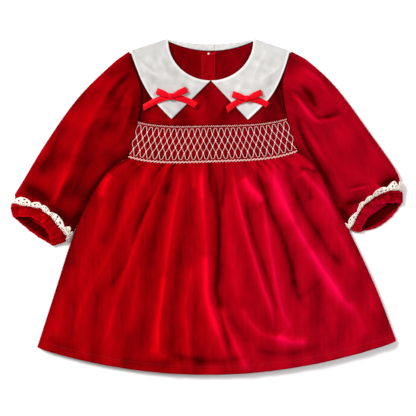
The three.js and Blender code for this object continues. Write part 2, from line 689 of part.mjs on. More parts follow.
function cuff(side) {
  const start = SLEEVES[side].at(-1);
  const end = CUFFS[side];
  const mouth = mouthway(side);
  const columns = tubeColumns(FINE.cuffTop, FINE.cuffSole);
  const rows = spread(FINE.cuffRows, (k) => {
    const section = {
      outer: new THREE.Vector3(lerp(start.outX, end.outX, k), lerp(start.outY, end.outY, k), 0),
      inner: new THREE.Vector3(lerp(start.inX, end.inX, k), lerp(start.inY, end.inY, k), 0),
      crown: lerp(start.crown, end.crown, k),
      sole: lerp(FLOOR_LAYER + LACE_STACK, CASING / 2, k),
      lean: lerp(start.lean, end.lean, k),
      reach: end.reach * k,
      mouth,
    };
    section.outer.addScaledVector(mouth, CUFF_SEAM * (1 - k));
    section.inner.addScaledVector(mouth, CUFF_SEAM * (1 - k));
    return columns.map(({ share, over }) => tubePoint(section, share, over));
  });
  const across = facing(side, [columns])[0];
  const wave = (share) => CUFF_WAVES.height * (0.5 - 0.5 * cos(2 * PI * CUFF_WAVES.count * share));
  const raise = (i, j) => (across[j].over ? wave(across[j].share) : 0);
  add("cuff_" + side, clothWall(facing(side, rows), CASING, { round: true, raise }), velvet);
}

// The lace lies on the sleeve just above the cuff seam, with its scalloped edge up the sleeve. Its points are
// the sleeve's own, moved out.
function lace(side) {
  const rings = sleeveRings(side);
  const normals = normalsOf(rings, true);
  const columns = rings[0].length;
  const lift = VELVET / 2 + 2 * GAP + LACE / 2;
  const place = (grid, at, turn) => {
    let i = 0;
    while (i < SLEEVE_ROWS.length - 2 && at > SLEEVE_ROWS[i + 1]) i += 1;
    const down = (at - SLEEVE_ROWS[i]) / (SLEEVE_ROWS[i + 1] - SLEEVE_ROWS[i]);
    const j = Math.floor(turn) % columns;
    const next = (j + 1) % columns;
    const over = turn - Math.floor(turn);
    const above = grid[i][j].clone().lerp(grid[i][next], over);
    const below = grid[i + 1][j].clone().lerp(grid[i + 1][next], over);
    return above.lerp(below, down);
  };
  const rows = [0, 0.5, 1].map((k) =>
    spread(2 * columns, (share) => {
      const scallop = abs(sin(PI * LACE_EDGE.scallops * share)) * LACE_EDGE.scallop * (1 - k);
      const at = lerp(LACE_EDGE.from - scallop, LACE_EDGE.to, k);
      const out = place(normals, at, share * columns).normalize();
      return place(rings, at, share * columns).addScaledVector(out, lift);
    }).slice(0, -1),
  );
  add("lace_" + side, clothWall(rows, LACE, { round: true }), laceWhite);
}

// Bows

const wasm = await Module();
wasm.setup();

function toSolid(geometry) {
  const bare = geometry.clone();
  bare.deleteAttribute("normal");
  bare.deleteAttribute("uv");
  const merged = mergeVertices(bare, 1e-4);
  return new wasm.Manifold(
    new wasm.Mesh({
      numProp: 3,
      vertProperties: new Float32Array(merged.attributes.position.array),
      triVerts: new Uint32Array(merged.index.array),
    }),
  );
}

function toGeometry(solid) {
  const mesh = solid.getMesh();
  const geometry = new THREE.BufferGeometry();
  geometry.setAttribute("position", new THREE.BufferAttribute(mesh.vertProperties, 3));
  geometry.setIndex(new THREE.BufferAttribute(mesh.triVerts, 1));
  return geometry;
}

// The height on which a bow lies, over a place on the collar.
function collarTop(x, y) {
  return frontLift(x, y) + COLLAR_LIFT + COLLAR_CLOTH / 2;
}

// A flattened loop of ribbon from the knot to its end.
function bowLoop(knot, [dx, dy]) {
  const length = sqrt(dx * dx + dy * dy);
  const along = new THREE.Vector3(dx / length, dy / length, 0);
  const side = new THREE.Vector3(-along.y, along.x, 0);
  const rows = spread(2, (k) =>
    spread(FINE.ribbonLoop, (turn) => {
      const angle = 2 * PI * turn;
      const out = (length * (1 - cos(angle))) / 2;
      const bulge = sign(sin(angle)) * abs(sin(angle)) ** 0.6 * LOOP_HALF_HEIGHT;
      const pinch = lerp(KNOT_PINCH, 1, smoothstep(out, 0, length * 0.5));
      const off = (k - 0.5) * RIBBON_WIDTH * pinch;
      const point = knot.clone().addScaledVector(along, out).addScaledVector(side, off);
      point.z = collarTop(point.x, point.y) + GAP + RIBBON / 2 + LOOP_HALF_HEIGHT + bulge;
      return point;
    }).slice(0, -1),
  );
  return clothWall(rows, RIBBON, { round: true });
}

// A tail of ribbon from the knot to its cut end.
function bowTail(knot, [dx, dy]) {
  const length = sqrt(dx * dx + dy * dy);
  const along = new THREE.Vector3(dx / length, dy / length, 0);
  const side = new THREE.Vector3(-along.y, along.x, 0);
  const rows = spread(FINE.ribbonTail, (k) =>
    spread(1, (across) => {
      const out = length * k;
      const pinch = lerp(KNOT_PINCH, 1, smoothstep(out, 0, length * 0.3));
      const off = (across - 0.5) * RIBBON_WIDTH * pinch;
      const point = knot.clone().addScaledVector(along, out).addScaledVector(side, off);
      point.y += TAIL.bend * sin(PI * k);
      point.z = collarTop(point.x, point.y) + GAP + RIBBON / 2 + TAIL.lift * (1 - smoothstep(k, 0, 0.5));
      return point;
    }),
  );
  return clothWall(rows, RIBBON);
}

function bow(side) {
  const { x, y, loops, tails } = BOWS[side];
  const knot = new THREE.Vector3(x, y, 0);
  const middle = collarTop(x, y) + GAP + RIBBON / 2 + LOOP_HALF_HEIGHT;
  const knotShape = new THREE.SphereGeometry(1, 12, 8)
    .scale(KNOT.long, KNOT.wide, KNOT.high)
    .translate(x, y, middle + KNOT.lift);
  const ribbon = [...loops.map((end) => bowLoop(knot, end)), ...tails.map((end) => bowTail(knot, end))];
  const solid = [...ribbon, knotShape].map(toSolid).reduce((whole, part) => whole.add(part));
  add("bow_" + side, toGeometry(solid), ribbonRed);
}

frontSkirt();
backSkirt();
smockedPanel();
frontYoke();
placket();
buttonLoop();
for (const side of SIDES) {
  bodiceBack(side);
  collar(side);
  neckBinding(side);
  sleeve(side);
  cuff(side);
  lace(side);
  bow(side);
}

export default dress;
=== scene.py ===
"""The looks of a toddler's velvet party dress that lies flat on its back.

Each class makes one part of the dress as shells of cloth with its folds, seams and stitches. Lengths in the
classes are millimetres in the frame of the solid part, and the meshes are written in metres. +X runs to the
right as the dress is seen from above, +Y from the hem to the neck and +Z up.
"""

import logging
import math
from collections.abc import Sequence
from dataclasses import dataclass, field
from enum import Enum
from typing import TypeVar

import bpy
import numpy as np
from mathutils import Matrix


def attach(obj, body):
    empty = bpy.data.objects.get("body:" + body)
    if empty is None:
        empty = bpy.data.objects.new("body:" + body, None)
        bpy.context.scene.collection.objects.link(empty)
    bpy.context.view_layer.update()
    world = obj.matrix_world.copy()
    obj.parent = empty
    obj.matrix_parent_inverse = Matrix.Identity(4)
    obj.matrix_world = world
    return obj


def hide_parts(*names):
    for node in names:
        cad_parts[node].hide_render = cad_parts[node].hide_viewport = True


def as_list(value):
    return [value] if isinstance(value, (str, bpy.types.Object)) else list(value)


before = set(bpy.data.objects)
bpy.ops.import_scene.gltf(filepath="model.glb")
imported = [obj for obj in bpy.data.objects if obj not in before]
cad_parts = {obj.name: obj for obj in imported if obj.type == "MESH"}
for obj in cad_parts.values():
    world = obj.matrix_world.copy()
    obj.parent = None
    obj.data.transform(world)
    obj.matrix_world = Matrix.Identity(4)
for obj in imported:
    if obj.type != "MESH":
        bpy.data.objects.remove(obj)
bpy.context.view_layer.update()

Array = np.ndarray
Values = float | np.ndarray
Place = tuple[float, float]
Colour = tuple[float, float, float]
Tree = bpy.types.NodeTree
Socket = bpy.types.NodeSocket
Material = bpy.types.Material
Piece = bpy.types.Object
Choice = TypeVar("Choice")

TAU = 2 * math.pi
MM = 0.001

# How thick each cloth is, how far two layers lie apart and how wide a seam is, in millimetres
VELVET = 1.5
COLLAR_CLOTH = 1.2
CASING = 1.8
LACE = 0.8
RIBBON = 0.8
PLACKET_CLOTH = 1.0
GAP = 0.3
SEAM = 0.5

log = logging.getLogger("dress")


class Side(Enum):
    """The two halves of the dress, as they lie seen from above."""

    LEFT = "left"
    RIGHT = "right"

    @property
    def out(self) -> float:
        """The direction along X from the middle of the dress to this side."""
        return self.pick(-1.0, 1.0)

    def pick(self, left: Choice, right: Choice) -> Choice:
        """The one of two values that belongs to this side."""
        return left if self is Side.LEFT else right

    def facing(self, grid: Array) -> Array:
        """Turns the rows of the right side over, so that their outer side is out."""
        return self.pick(grid, grid[:, ::-1])


# Sums that the shapes are worked out with


def mix(a: Values, b: Values, share: Values) -> Values:
    """A value, or an array of them, at a share of the way from a to b."""
    return a + (b - a) * share


def smooth(x: Values, low: float, high: float) -> Array:
    """A soft step that is 0 up to low and 1 from high on."""
    t = np.clip((np.asarray(x, dtype=float) - low) / (high - low), 0.0, 1.0)
    return t * t * (3.0 - 2.0 * t)


def level_points(x: Array, y: Array) -> Array:
    """Points at height 0 over places along X and Y."""
    return np.stack([x, y, np.zeros_like(x)], axis=-1)


@dataclass(frozen=True)
class Track:
    """Values at shares along a piece, joined by a smooth curve."""

    stops: tuple[float, ...]
    values: tuple[float, ...]

    def at(self, share: Values) -> Array:
        """The curve's values at one or more shares between the first stop and the last."""
        stops = np.array(self.stops)
        values = np.array(self.values)
        share = np.asarray(share, dtype=float)
        last = len(stops) - 1
        k = np.clip(np.searchsorted(stops, share, side="left") - 1, 0, last - 1)
        before = np.maximum(np.arange(last + 1) - 1, 0)
        after = np.minimum(np.arange(last + 1) + 1, last)
        slopes = (values[after] - values[before]) / (stops[after] - stops[before])
        span = stops[k + 1] - stops[k]
        u = (share - stops[k]) / span
        rise = u * u * (3 - 2 * u)
        bend = span * u * (1 - u) * ((1 - u) * slopes[k] - u * slopes[k + 1])
        return mix(values[k], values[k + 1], rise) + bend


def ripple(x: Values, y: Values, wavelength: float, seed: int) -> Array:
    """A soft uneven relief between about -1 and 1.

    Args:
        x: places along X.
        y: places along Y.
        wavelength: the usual distance between its crests, in the units of x and y.
        seed: chooses one relief among many.

    Returns:
        The relief's height at each place.
    """
    rng = np.random.default_rng(seed)
    total = np.zeros(np.broadcast(x, y).shape)
    for _ in range(7):
        angle = rng.uniform(0, TAU)
        length = wavelength * rng.uniform(0.7, 1.6)
        phase = rng.uniform(0, TAU)
        total = total + np.sin(TAU * (x * math.cos(angle) + y * math.sin(angle)) / length + phase)
    return total / 3.2


def fold_rise(off: Array) -> Array:
    """The height at distances off a fold's crest, in its widths: a soft swell with a firmer ridge on it."""
    return 0.62 * np.exp(-(off**2)) + 0.38 * np.exp(-((off / 0.45) ** 2))


def painted_fold_shade(off: Array) -> Array:
    """A narrow painted highlight on a fold's crest, with painted shade in a deep trough on its far side."""
    crest = 0.75 * np.exp(-((off / 0.32) ** 2)) + 0.25 * np.exp(-(off**2))
    far = 0.5 * np.exp(-(((off - 0.85) / 0.4) ** 2))
    near = 0.15 * np.exp(-(((off + 1.1) / 0.6) ** 2))
    return crest - far - near


@dataclass(frozen=True)
class Crease:
    """A soft ridge, or a trough where its height is negative, along a curve seen from above.

    A long fold has a shade: how much painted highlight, or painted shade where it is negative, it lays
    along itself. A crease without one takes its painted shading from its height.
    """

    path: tuple[Place, ...]
    height: float
    width: float
    shade: float | None = None

    def place(self, x: Array, y: Array) -> tuple[Array, Array]:
        """Where places lie from the crease.

        Args:
            x: places along X.
            y: places along Y.

        Returns:
            The distance from the crease in its widths, positive on its left, and the crease's share there.
        """
        knots = np.array(self.path, dtype=float)
        stops = tuple(float(k) for k in range(len(knots)))
        shares = np.linspace(0, len(knots) - 1, 4 * len(knots))
        line = np.stack([Track(stops, tuple(knots[:, axis])).at(shares) for axis in (0, 1)], axis=1)
        nearest = np.full(x.shape, np.inf)
        signed = np.zeros(x.shape)
        along = np.zeros(x.shape)
        for k, (a, b) in enumerate(zip(line[:-1], line[1:])):
            d = b - a
            t = np.clip(((x - a[0]) * d[0] + (y - a[1]) * d[1]) / max(float(d @ d), 1e-9), 0, 1)
            off = np.hypot(x - a[0] - t * d[0], y - a[1] - t * d[1])
            side = np.where(d[0] * (y - a[1]) - d[1] * (x - a[0]) > 0, 1.0, -1.0)
            closer = off < nearest
            nearest = np.where(closer, off, nearest)
            signed = np.where(closer, off * side, signed)
            along = np.where(closer, (k + t) / (len(line) - 1), along)
        if self.shade is None:
            fade = np.clip(np.sin(math.pi * along), 0, 1) ** 0.7
        else:
            fade = smooth(along, 0, 0.12) * (1 - smooth(along, 0.85, 1))
        return signed / self.width, fade


@dataclass
class Relief:
    """How much the folds lift a piece's cloth, and the highlight and shade painted along them."""

    rise: Array
    tone: Array

    @classmethod
    def of(cls, x: Array, y: Array, creases: Sequence[Crease]) -> "Relief":
        """The relief that a set of creases makes together at places along X and Y."""
        relief = cls(np.zeros(np.broadcast(x, y).shape), np.zeros(np.broadcast(x, y).shape))
        for crease in creases:
            off, fade = crease.place(x, y)
            rise = fold_rise(off)
            relief.rise += crease.height * fade * rise
            # Painted highlight along the crests and painted shade in the hollows, from each crease's shade
            # or height
            if crease.shade is not None:
                crisp = 0.75 * np.exp(-(off**2)) + 0.35 * np.exp(-((off / 0.3) ** 2))
                relief.tone += crease.shade * fade * (crisp if crease.shade > 0 else rise)
            else:
                relief.tone += crease.height / 20 * fade * (painted_fold_shade(off) if crease.height > 0 else rise)
        return relief


# Finishes


def new_group(name: str, inputs: Sequence[tuple[str, float]], outputs: Sequence[str]) -> Tree:
    """Starts a shader node group whose sockets are all numbers.

    Args:
        name: the group's name.
        inputs: the name and default value of each input.
        outputs: the name of each output.

    Returns:
        The group, with its input and output nodes in place.
    """
    tree = bpy.data.node_groups.new(name, "ShaderNodeTree")
    for title, default in inputs:
        socket = tree.interface.new_socket(title, in_out="INPUT", socket_type="NodeSocketFloat")
        socket.default_value = default
    for title in outputs:
        tree.interface.new_socket(title, in_out="OUTPUT", socket_type="NodeSocketFloat")
    tree.nodes.new("NodeGroupInput").name = "in"
    tree.nodes.new("NodeGroupOutput").name = "out"
    return tree


def math_node(tree: Tree, operation: str, *values: Socket | float) -> Socket:
    """Adds a Math node whose inputs are sockets or numbers, and returns its output."""
    node = tree.nodes.new("ShaderNodeMath")
    node.operation = operation
    for socket, value in zip(node.inputs, values):
        if isinstance(value, Socket):
            tree.links.new(value, socket)
        else:
            socket.default_value = value
    return node.outputs[0]


def noise_node(tree: Tree, vector: Socket, scale: float, detail: float) -> Socket:
    """Adds a Noise texture read at a vector socket, and returns its value."""
    node = tree.nodes.new("ShaderNodeTexNoise")
    node.inputs["Scale"].default_value = scale
    node.inputs["Detail"].default_value = detail
    tree.links.new(vector, node.inputs["Vector"])
    return node.outputs["Fac"]


def cloth_threads(tree: Tree) -> tuple[Socket, Socket]:
    """Reads a piece's cloth map, in metres along its two threads."""
    uv = tree.nodes.new("ShaderNodeUVMap")
    uv.uv_map = "cloth"
    split = tree.nodes.new("ShaderNodeSeparateXYZ")
    tree.links.new(uv.outputs["UV"], split.inputs[0])
    return split.outputs["X"], split.outputs["Y"]


def mottle_group() -> Tree:
    """Uneven patches on a piece's cloth map, as of pile brushed this way and that."""
    inputs = [("Patch size", 0.03), ("Stretch", 1.0), ("Strength", 1.0)]
    tree = new_group("Mottle", inputs, ["Mask", "Height"])
    source = tree.nodes["in"].outputs
    across, down = cloth_threads(tree)
    place = tree.nodes.new("ShaderNodeCombineXYZ")
    tree.links.new(math_node(tree, "DIVIDE", across, source["Patch size"]), place.inputs["X"])
    down = math_node(tree, "DIVIDE", down, source["Patch size"])
    tree.links.new(math_node(tree, "DIVIDE", down, source["Stretch"]), place.inputs["Y"])
    wide = math_node(tree, "MULTIPLY", noise_node(tree, place.outputs[0], 1.0, 2.0), 0.7)
    fine = math_node(tree, "MULTIPLY", noise_node(tree, place.outputs[0], 4.0, 3.0), 0.3)
    both = math_node(tree, "ADD", wide, fine)
    centred = math_node(tree, "MULTIPLY", math_node(tree, "SUBTRACT", both, 0.5), source["Strength"])
    tree.links.new(math_node(tree, "ADD", centred, 0.5), tree.nodes["out"].inputs["Mask"])
    tree.links.new(centred, tree.nodes["out"].inputs["Height"])
    return tree


def weave_group() -> Tree:
    """Threads that cross, read on a piece's own cloth map."""
    tree = new_group("Weave", [("Threads per metre", 2500.0), ("Cross threads", 1.0)], ["Height", "Mask"])
    source = tree.nodes["in"].outputs
    across, down = cloth_threads(tree)
    turn = math_node(tree, "MULTIPLY", source["Threads per metre"], math.pi)
    warp = math_node(tree, "SINE", math_node(tree, "MULTIPLY", across, turn))
    weft = math_node(tree, "SINE", math_node(tree, "MULTIPLY", down, turn))
    crossing = math_node(tree, "MULTIPLY", math_node(tree, "ABSOLUTE", weft), source["Cross threads"])
    height = math_node(tree, "ADD", math_node(tree, "ABSOLUTE", warp), crossing)
    tree.links.new(height, tree.nodes["out"].inputs["Height"])
    tree.links.new(math_node(tree, "MULTIPLY", height, 0.5), tree.nodes["out"].inputs["Mask"])
    return tree


@dataclass(frozen=True)
class Finish:
    """What every cloth or thread finish has in common.

    Its colour runs from dark to light with the cloth's shade. Where it has a light_right, a second run with
    middle_right halfway takes over from the left of the dress to its right: colours painted pinker on the
    right half, most in the highlights, as the light there tinted them.
    """

    name: str
    dark: Colour
    light: Colour
    roughness: float = 0.8
    specular: float = 0.3
    sheen: float = 0.0
    sheen_tint: Colour = (1.0, 1.0, 1.0)
    sheen_roughness: float = 0.5
    patch: float = 0.03
    stretch: float = 1.0
    mottling: float = 1.0
    threads: float = 2500.0
    cross: float = 1.0
    thread_shade: float = 0.08
    relief: float = 0.1
    relief_depth: float = 0.3
    uses_painted_shade: bool = False
    light_right: Colour | None = None
    middle_right: Colour | None = None
    right_from: float = -90.0
    right_to: float = 150.0

    def material(self, groups: dict[str, Tree]) -> Material:
        """Makes the finish's material from the shared node groups, given by name."""
        material = bpy.data.materials.new(self.name)
        material.use_nodes = True
        tree = material.node_tree
        shader = tree.nodes["Principled BSDF"]
        shader.inputs["Roughness"].default_value = self.roughness
        shader.inputs["Specular IOR Level"].default_value = self.specular
        shader.inputs["Sheen Weight"].default_value = self.sheen
        shader.inputs["Sheen Roughness"].default_value = self.sheen_roughness
        shader.inputs["Sheen Tint"].default_value = (*self.sheen_tint, 1.0)
        mottle = tree.nodes.new("ShaderNodeGroup")
        mottle.node_tree = groups["mottle"]
        mottle.inputs["Patch size"].default_value = self.patch
        mottle.inputs["Stretch"].default_value = self.stretch
        mottle.inputs["Strength"].default_value = self.mottling
        weave = tree.nodes.new("ShaderNodeGroup")
        weave.node_tree = groups["weave"]
        weave.inputs["Threads per metre"].default_value = self.threads
        weave.inputs["Cross threads"].default_value = self.cross
        shade = mottle.outputs["Mask"]
        # The painted highlight and shade stored on the mesh, with its uneven tone, are added to the shade
        # here
        if self.uses_painted_shade:
            nap = tree.nodes.new("ShaderNodeAttribute")
            nap.attribute_name = "nap"
            shade = math_node(tree, "ADD", shade, nap.outputs["Fac"])
        woven = math_node(tree, "MULTIPLY", weave.outputs["Mask"], self.thread_shade)
        shade = math_node(tree, "ADD", shade, woven)
        tree.links.new(self.colour(tree, shade), shader.inputs["Base Color"])
        bump = tree.nodes.new("ShaderNodeBump")
        bump.inputs["Strength"].default_value = self.relief
        bump.inputs["Distance"].default_value = self.relief_depth * MM
        both = math_node(tree, "ADD", weave.outputs["Height"], mottle.outputs["Height"])
        tree.links.new(both, bump.inputs["Height"])
        tree.links.new(bump.outputs["Normal"], shader.inputs["Normal"])
        return material

    def colour(self, tree: Tree, shade: Socket) -> Socket:
        """Adds the nodes that turn a shade into the base colour, and returns it."""
        left = self.ramp(tree, shade, self.light)
        if self.light_right is None:
            return left
        place = tree.nodes.new("ShaderNodeTexCoord")
        split = tree.nodes.new("ShaderNodeSeparateXYZ")
        reach = tree.nodes.new("ShaderNodeMapRange")
        reach.interpolation_type = "SMOOTHSTEP"
        reach.inputs["From Min"].default_value = self.right_from * MM
        reach.inputs["From Max"].default_value = self.right_to * MM
        blend = tree.nodes.new("ShaderNodeMix")
        blend.data_type = "RGBA"
        right = self.ramp(tree, shade, self.light_right, self.middle_right)
        tree.links.new(place.outputs["Object"], split.inputs[0])
        tree.links.new(split.outputs["X"], reach.inputs["Value"])
        tree.links.new(reach.outputs[0], blend.inputs["Factor"])
        tree.links.new(left, blend.inputs["A"])
        tree.links.new(right, blend.inputs["B"])
        return blend.outputs["Result"]

    def ramp(self, tree: Tree, shade: Socket, light: Colour, middle: Colour | None = None) -> Socket:
        """Adds a ramp over the shade from the dark colour to a light one.

        Args:
            tree: the material's nodes.
            shade: how light the cloth is, from 0 to 1.
            light: the colour at its light end.
            middle: the colour halfway, where it has one of its own.

        Returns:
            The ramp's colour.
        """
        ramp = tree.nodes.new("ShaderNodeValToRGB")
        for element, position, colour in zip(ramp.color_ramp.elements, (0.15, 0.85), (self.dark, light)):
            element.position = position
            element.color = (*colour, 1.0)
        if middle:
            ramp.color_ramp.elements.new(0.5).color = (*middle, 1.0)
        tree.links.new(shade, ramp.inputs["Fac"])
        return ramp.outputs["Color"]


class Finishes:
    """Every finish of the dress, each made once."""

    def __init__(self) -> None:
        """Makes the shared groups and the materials."""
        groups = {"mottle": mottle_group(), "weave": weave_group()}
        self.velvet = Finish(
            "red_velvet",
            dark=(0.06, 0.0001, 0.0006),
            light=(0.78, 0.0004, 0.005),
            # Painted light tint: the right half's colours run pinker, most in the highlights
            light_right=(0.78, 0.0016, 0.05),
            middle_right=(0.42, 0.0006, 0.0105),
            roughness=0.7,
            specular=0.0,
            sheen=0.3,
            sheen_tint=(1.0, 0.0, 0.06),
            sheen_roughness=0.3,
            patch=0.028,
            stretch=2.2,
            mottling=0.3,
            threads=1400.0,
            relief=0.35,
            uses_painted_shade=True,
        ).material(groups)
        self.collar = Finish(
            "white_satin_cotton",
            dark=(0.33, 0.32, 0.31),
            light=(0.8, 0.785, 0.765),
            roughness=0.6,
            specular=0.2,
            sheen=0.05,
            patch=0.03,
            mottling=0.45,
            threads=2200.0,
            relief=0.12,
            uses_painted_shade=True,
        ).material(groups)
        self.lace = Finish(
            "cream_lace",
            dark=(0.8, 0.68, 0.57),
            light=(0.97, 0.9, 0.82),
            roughness=0.85,
            sheen=0.2,
            patch=0.004,
            threads=1600.0,
            relief=0.5,
        ).material(groups)
        self.ribbon = Finish(
            "red_satin_ribbon",
            dark=(0.45, 0.0005, 0.004),
            light=(0.82, 0.001, 0.012),
            roughness=0.42,
            specular=0.05,
            patch=0.012,
            threads=3000.0,
            cross=0.15,
            relief=0.15,
        ).material(groups)
        self.smocking_thread = Finish(
            "cream_thread",
            dark=(1.0, 0.47, 0.42),
            light=(1.0, 0.62, 0.56),
            roughness=0.6,
            patch=0.005,
            threads=2500.0,
            relief=0.4,
        ).material(groups)
        self.red_thread = Finish(
            "red_thread",
            dark=(0.16, 0.0005, 0.004),
            light=(0.42, 0.003, 0.014),
            roughness=0.6,
            patch=0.005,
            relief=0.3,
        ).material(groups)
        self.white_thread = Finish(
            "white_thread",
            dark=(0.75, 0.74, 0.72),
            light=(0.92, 0.91, 0.9),
            roughness=0.6,
            patch=0.005,
            relief=0.3,
        ).material(groups)


# Shells of cloth and lengths of thread


def put_mesh(
    name: str,
    points: Array,
    faces: Sequence[Sequence[int]],
    material: Material,
    flat: Sequence[int] = (),
    cloth_map: Array | None = None,
    nap: Array | None = None,
) -> Piece:
    """Makes an object at the origin from points in millimetres.

    Args:
        name: the piece's name.
        points: a point for each vertex.
        faces: the vertices of each face, with its outer side out.
        material: the piece's finish.
        flat: the faces that aren't shaded smooth.
        cloth_map: each vertex's place on the cloth in metres, along its two threads.
        nap: how light each vertex is painted, painted highlight and shade with uneven tone.

    Returns:
        The new object.
    """
    mesh = bpy.data.meshes.new(name)
    mesh.from_pydata((points * MM).tolist(), [], faces)
    mesh.materials.append(material)
    shading = np.ones(len(mesh.polygons), dtype=bool)
    shading[list(flat)] = False
    mesh.polygons.foreach_set("use_smooth", shading)
    if cloth_map is not None:
        corner = np.empty(len(mesh.loops), dtype=np.int32)
        mesh.loops.foreach_get("vertex_index", corner)
        layer = mesh.uv_layers.new(name="cloth")
        layer.data.foreach_set("uv", cloth_map[corner].astype(np.float32).ravel())
    if nap is not None:
        attribute = mesh.attributes.new("nap", "FLOAT", "POINT")
        attribute.data.foreach_set("value", nap.astype(np.float32))
    mesh.update()
    piece = bpy.data.objects.new(name, mesh)
    bpy.context.scene.collection.objects.link(piece)
    return piece


@dataclass
class Cloth:
    """A closed wall of cloth about a grid of points in its middle.

    The rows run down the piece and the columns across it, so that its outer side is along cross across.

    Attributes:
        name: the piece's name.
        middle: the grid of points.
        thick: the wall's thickness.
        closed: whether the last column joins the first, as round a sleeve.
        lift: how far the outer side stands out further at each point.
        upright: whether the thickness is measured straight up everywhere.
        standing: whether the top row's wall stands straight and the side edges lie level.
        keep: which faces of the grid are cloth, where it has holes.
        rim: how far the rims bulge out, in thicknesses.
        tone: how light the outer side is painted, with the highlight and shade painted on its folds where
            it has them.
        tone_under: how light the inner side is painted, where that differs.
        painted_light_from: where slopes are painted lighter, as pile brushed that way catches light, in
            radians from +X.
    """

    name: str
    middle: Array
    thick: float
    closed: bool = False
    lift: Array | None = None
    upright: bool = False
    standing: bool = False
    keep: Array | None = None
    rim: float = 0.3
    tone: Values = 0.0
    tone_under: Values | None = None
    painted_light_from: float = -1.2
    normals: Array = field(init=False)

    def __post_init__(self) -> None:
        """Works out the wall's normals."""
        if self.closed:
            over = np.roll(self.middle, -1, axis=1) - np.roll(self.middle, 1, axis=1)
        else:
            over = np.gradient(self.middle, axis=1)
        normals = np.cross(np.gradient(self.middle, axis=0), over)
        if self.upright:
            normals[:] = (0.0, 0.0, 1.0)
        if self.standing:
            normals[0, :, 1] = 0
            normals[:, (0, -1), 2] = 0
        self.normals = normals / np.maximum(np.linalg.norm(normals, axis=2, keepdims=True), 1e-9)
        if self.lift is None:
            self.lift = np.zeros(self.middle.shape[:2])

    def on(self, row: Array, column: Array, above: float) -> Array:
        """Points above the wall's outer side.

        Args:
            row: places down the grid, counted in rows.
            column: places across the grid, counted in columns.
            above: how far over the outer side they are.

        Returns:
            A point for each place.
        """
        rows, columns = self.middle.shape[:2]
        outer = self.middle + self.normals * (self.thick / 2 + above + self.lift)[..., None]
        r = np.clip(row, 0, rows - 1.001)
        c = column % columns if self.closed else np.clip(column, 0, columns - 1.001)
        i = np.floor(r).astype(int)
        j = np.floor(c).astype(int)
        k = (j + 1) % columns
        u = (r - i)[..., None]
        v = (c - j)[..., None]
        top = mix(outer[i, j], outer[i, k], v)
        return mix(top, mix(outer[i + 1, j], outer[i + 1, k], v), u)

    def cloth_map(self) -> Array:
        """Each grid point's place on the cloth, in metres along its two threads."""
        steps = np.linalg.norm(np.diff(self.middle, axis=1), axis=2)
        u = np.concatenate([np.zeros((len(steps), 1)), np.cumsum(steps, axis=1)], axis=1)
        u = u - u[:, [u.shape[1] // 2]]
        down = np.linalg.norm(np.diff(self.middle, axis=0), axis=2)
        v = np.concatenate([np.zeros((1, down.shape[1])), np.cumsum(down, axis=0)], axis=0)
        return np.stack([u, v], axis=2) * MM

    def painted_shade_sides(self) -> list[Array]:
        """How light each side is painted: its tone, with painted slope shading, lighter where the cloth
        turns towards the painted light's direction and darker where it turns away.
        """
        painted_light_way = np.array([math.cos(self.painted_light_from), math.sin(self.painted_light_from)])
        # Painted slope shading: cloth turned towards that direction is painted lighter, cloth turned away
        # darker
        turned = 0.2 * (self.normals[..., :2] @ painted_light_way)
        under = self.tone if self.tone_under is None else self.tone_under
        return [(turned + self.tone).ravel(), (turned + under).ravel()]

    def build(self, material: Material) -> Piece:
        """Makes the wall, with its rims closed, as one mesh of a finish."""
        rows, columns = self.middle.shape[:2]
        half = self.normals * (self.thick / 2)
        outer = self.middle + half + self.normals * self.lift[..., None]
        points = [outer.reshape(-1, 3), (self.middle - half).reshape(-1, 3)]
        maps = [self.cloth_map().reshape(-1, 2)] * 2
        painted_shade_sides = self.painted_shade_sides()
        number = np.arange(rows * columns).reshape(rows, columns)
        under = number + rows * columns
        ends = columns if self.closed else columns - 1
        keep = np.ones((rows - 1, ends), dtype=bool) if self.keep is None else self.keep
        i, j = np.nonzero(keep)
        k = (j + 1) % columns
        top = np.stack([number[i, j], number[i + 1, j], number[i + 1, k], number[i, k]], axis=1)
        sole = np.stack([under[i, j], under[i, k], under[i + 1, k], under[i + 1, j]], axis=1)
        faces = np.concatenate([top, sole]).tolist()
        flat: Sequence[int] = ()
        if self.keep is None:
            count = 2 * rows * columns
            for edge, inside in self.rims():
                away = self.middle[edge] - self.middle[inside]
                away /= np.maximum(np.linalg.norm(away, axis=1, keepdims=True), 1e-9)
                points.append(self.middle[edge] + away * self.thick * self.rim)
                maps.append(maps[0][number[edge]])
                painted_shade_sides.append(painted_shade_sides[0][number[edge]])
                here = np.stack([number[edge], count + np.arange(len(away)), under[edge]])
                o1, r1, u1 = here
                o2, r2, u2 = np.roll(here, -1, axis=1)
                faces += np.stack([o2, o1, r1, r2, r2, r1, u1, u2], axis=1).reshape(-1, 4).tolist()
                count += len(away)
        else:
            walls = self.hole_rims(keep, number, under)
            flat = range(len(faces), len(faces) + len(walls))
            faces += walls
        points, maps, painted_shade_sides = np.concatenate(points), np.concatenate(maps), np.concatenate(painted_shade_sides)
        used, corners = np.unique(np.array(faces), return_inverse=True)
        faces = corners.reshape(-1, 4).tolist()
        points, maps, painted_shade_sides = points[used], maps[used], painted_shade_sides[used]
        points[:, 2] = np.maximum(points[:, 2], 0)
        return put_mesh(self.name, points, faces, material, flat, maps, painted_shade_sides)

    def rims(self) -> list[tuple[tuple[Array, Array], tuple[Array, Array]]]:
        """The rows and columns round each rim, with the cloth on their left, and those one point inside."""
        rows, columns = self.middle.shape[:2]
        if self.closed:
            order = np.arange(columns)
            return [
                ((0 * order, order[::-1]), (0 * order + 1, order[::-1])),
                ((0 * order + rows - 1, order), (0 * order + rows - 2, order)),
            ]
        down = np.arange(rows - 1)
        over = np.arange(columns - 1)
        i = np.concatenate([down, 0 * over + rows - 1, rows - 1 - down, 0 * over])
        j = np.concatenate([0 * down, over, 0 * down + columns - 1, columns - 1 - over])
        return [((i, j), (np.clip(i, 1, rows - 2), np.clip(j, 1, columns - 2)))]

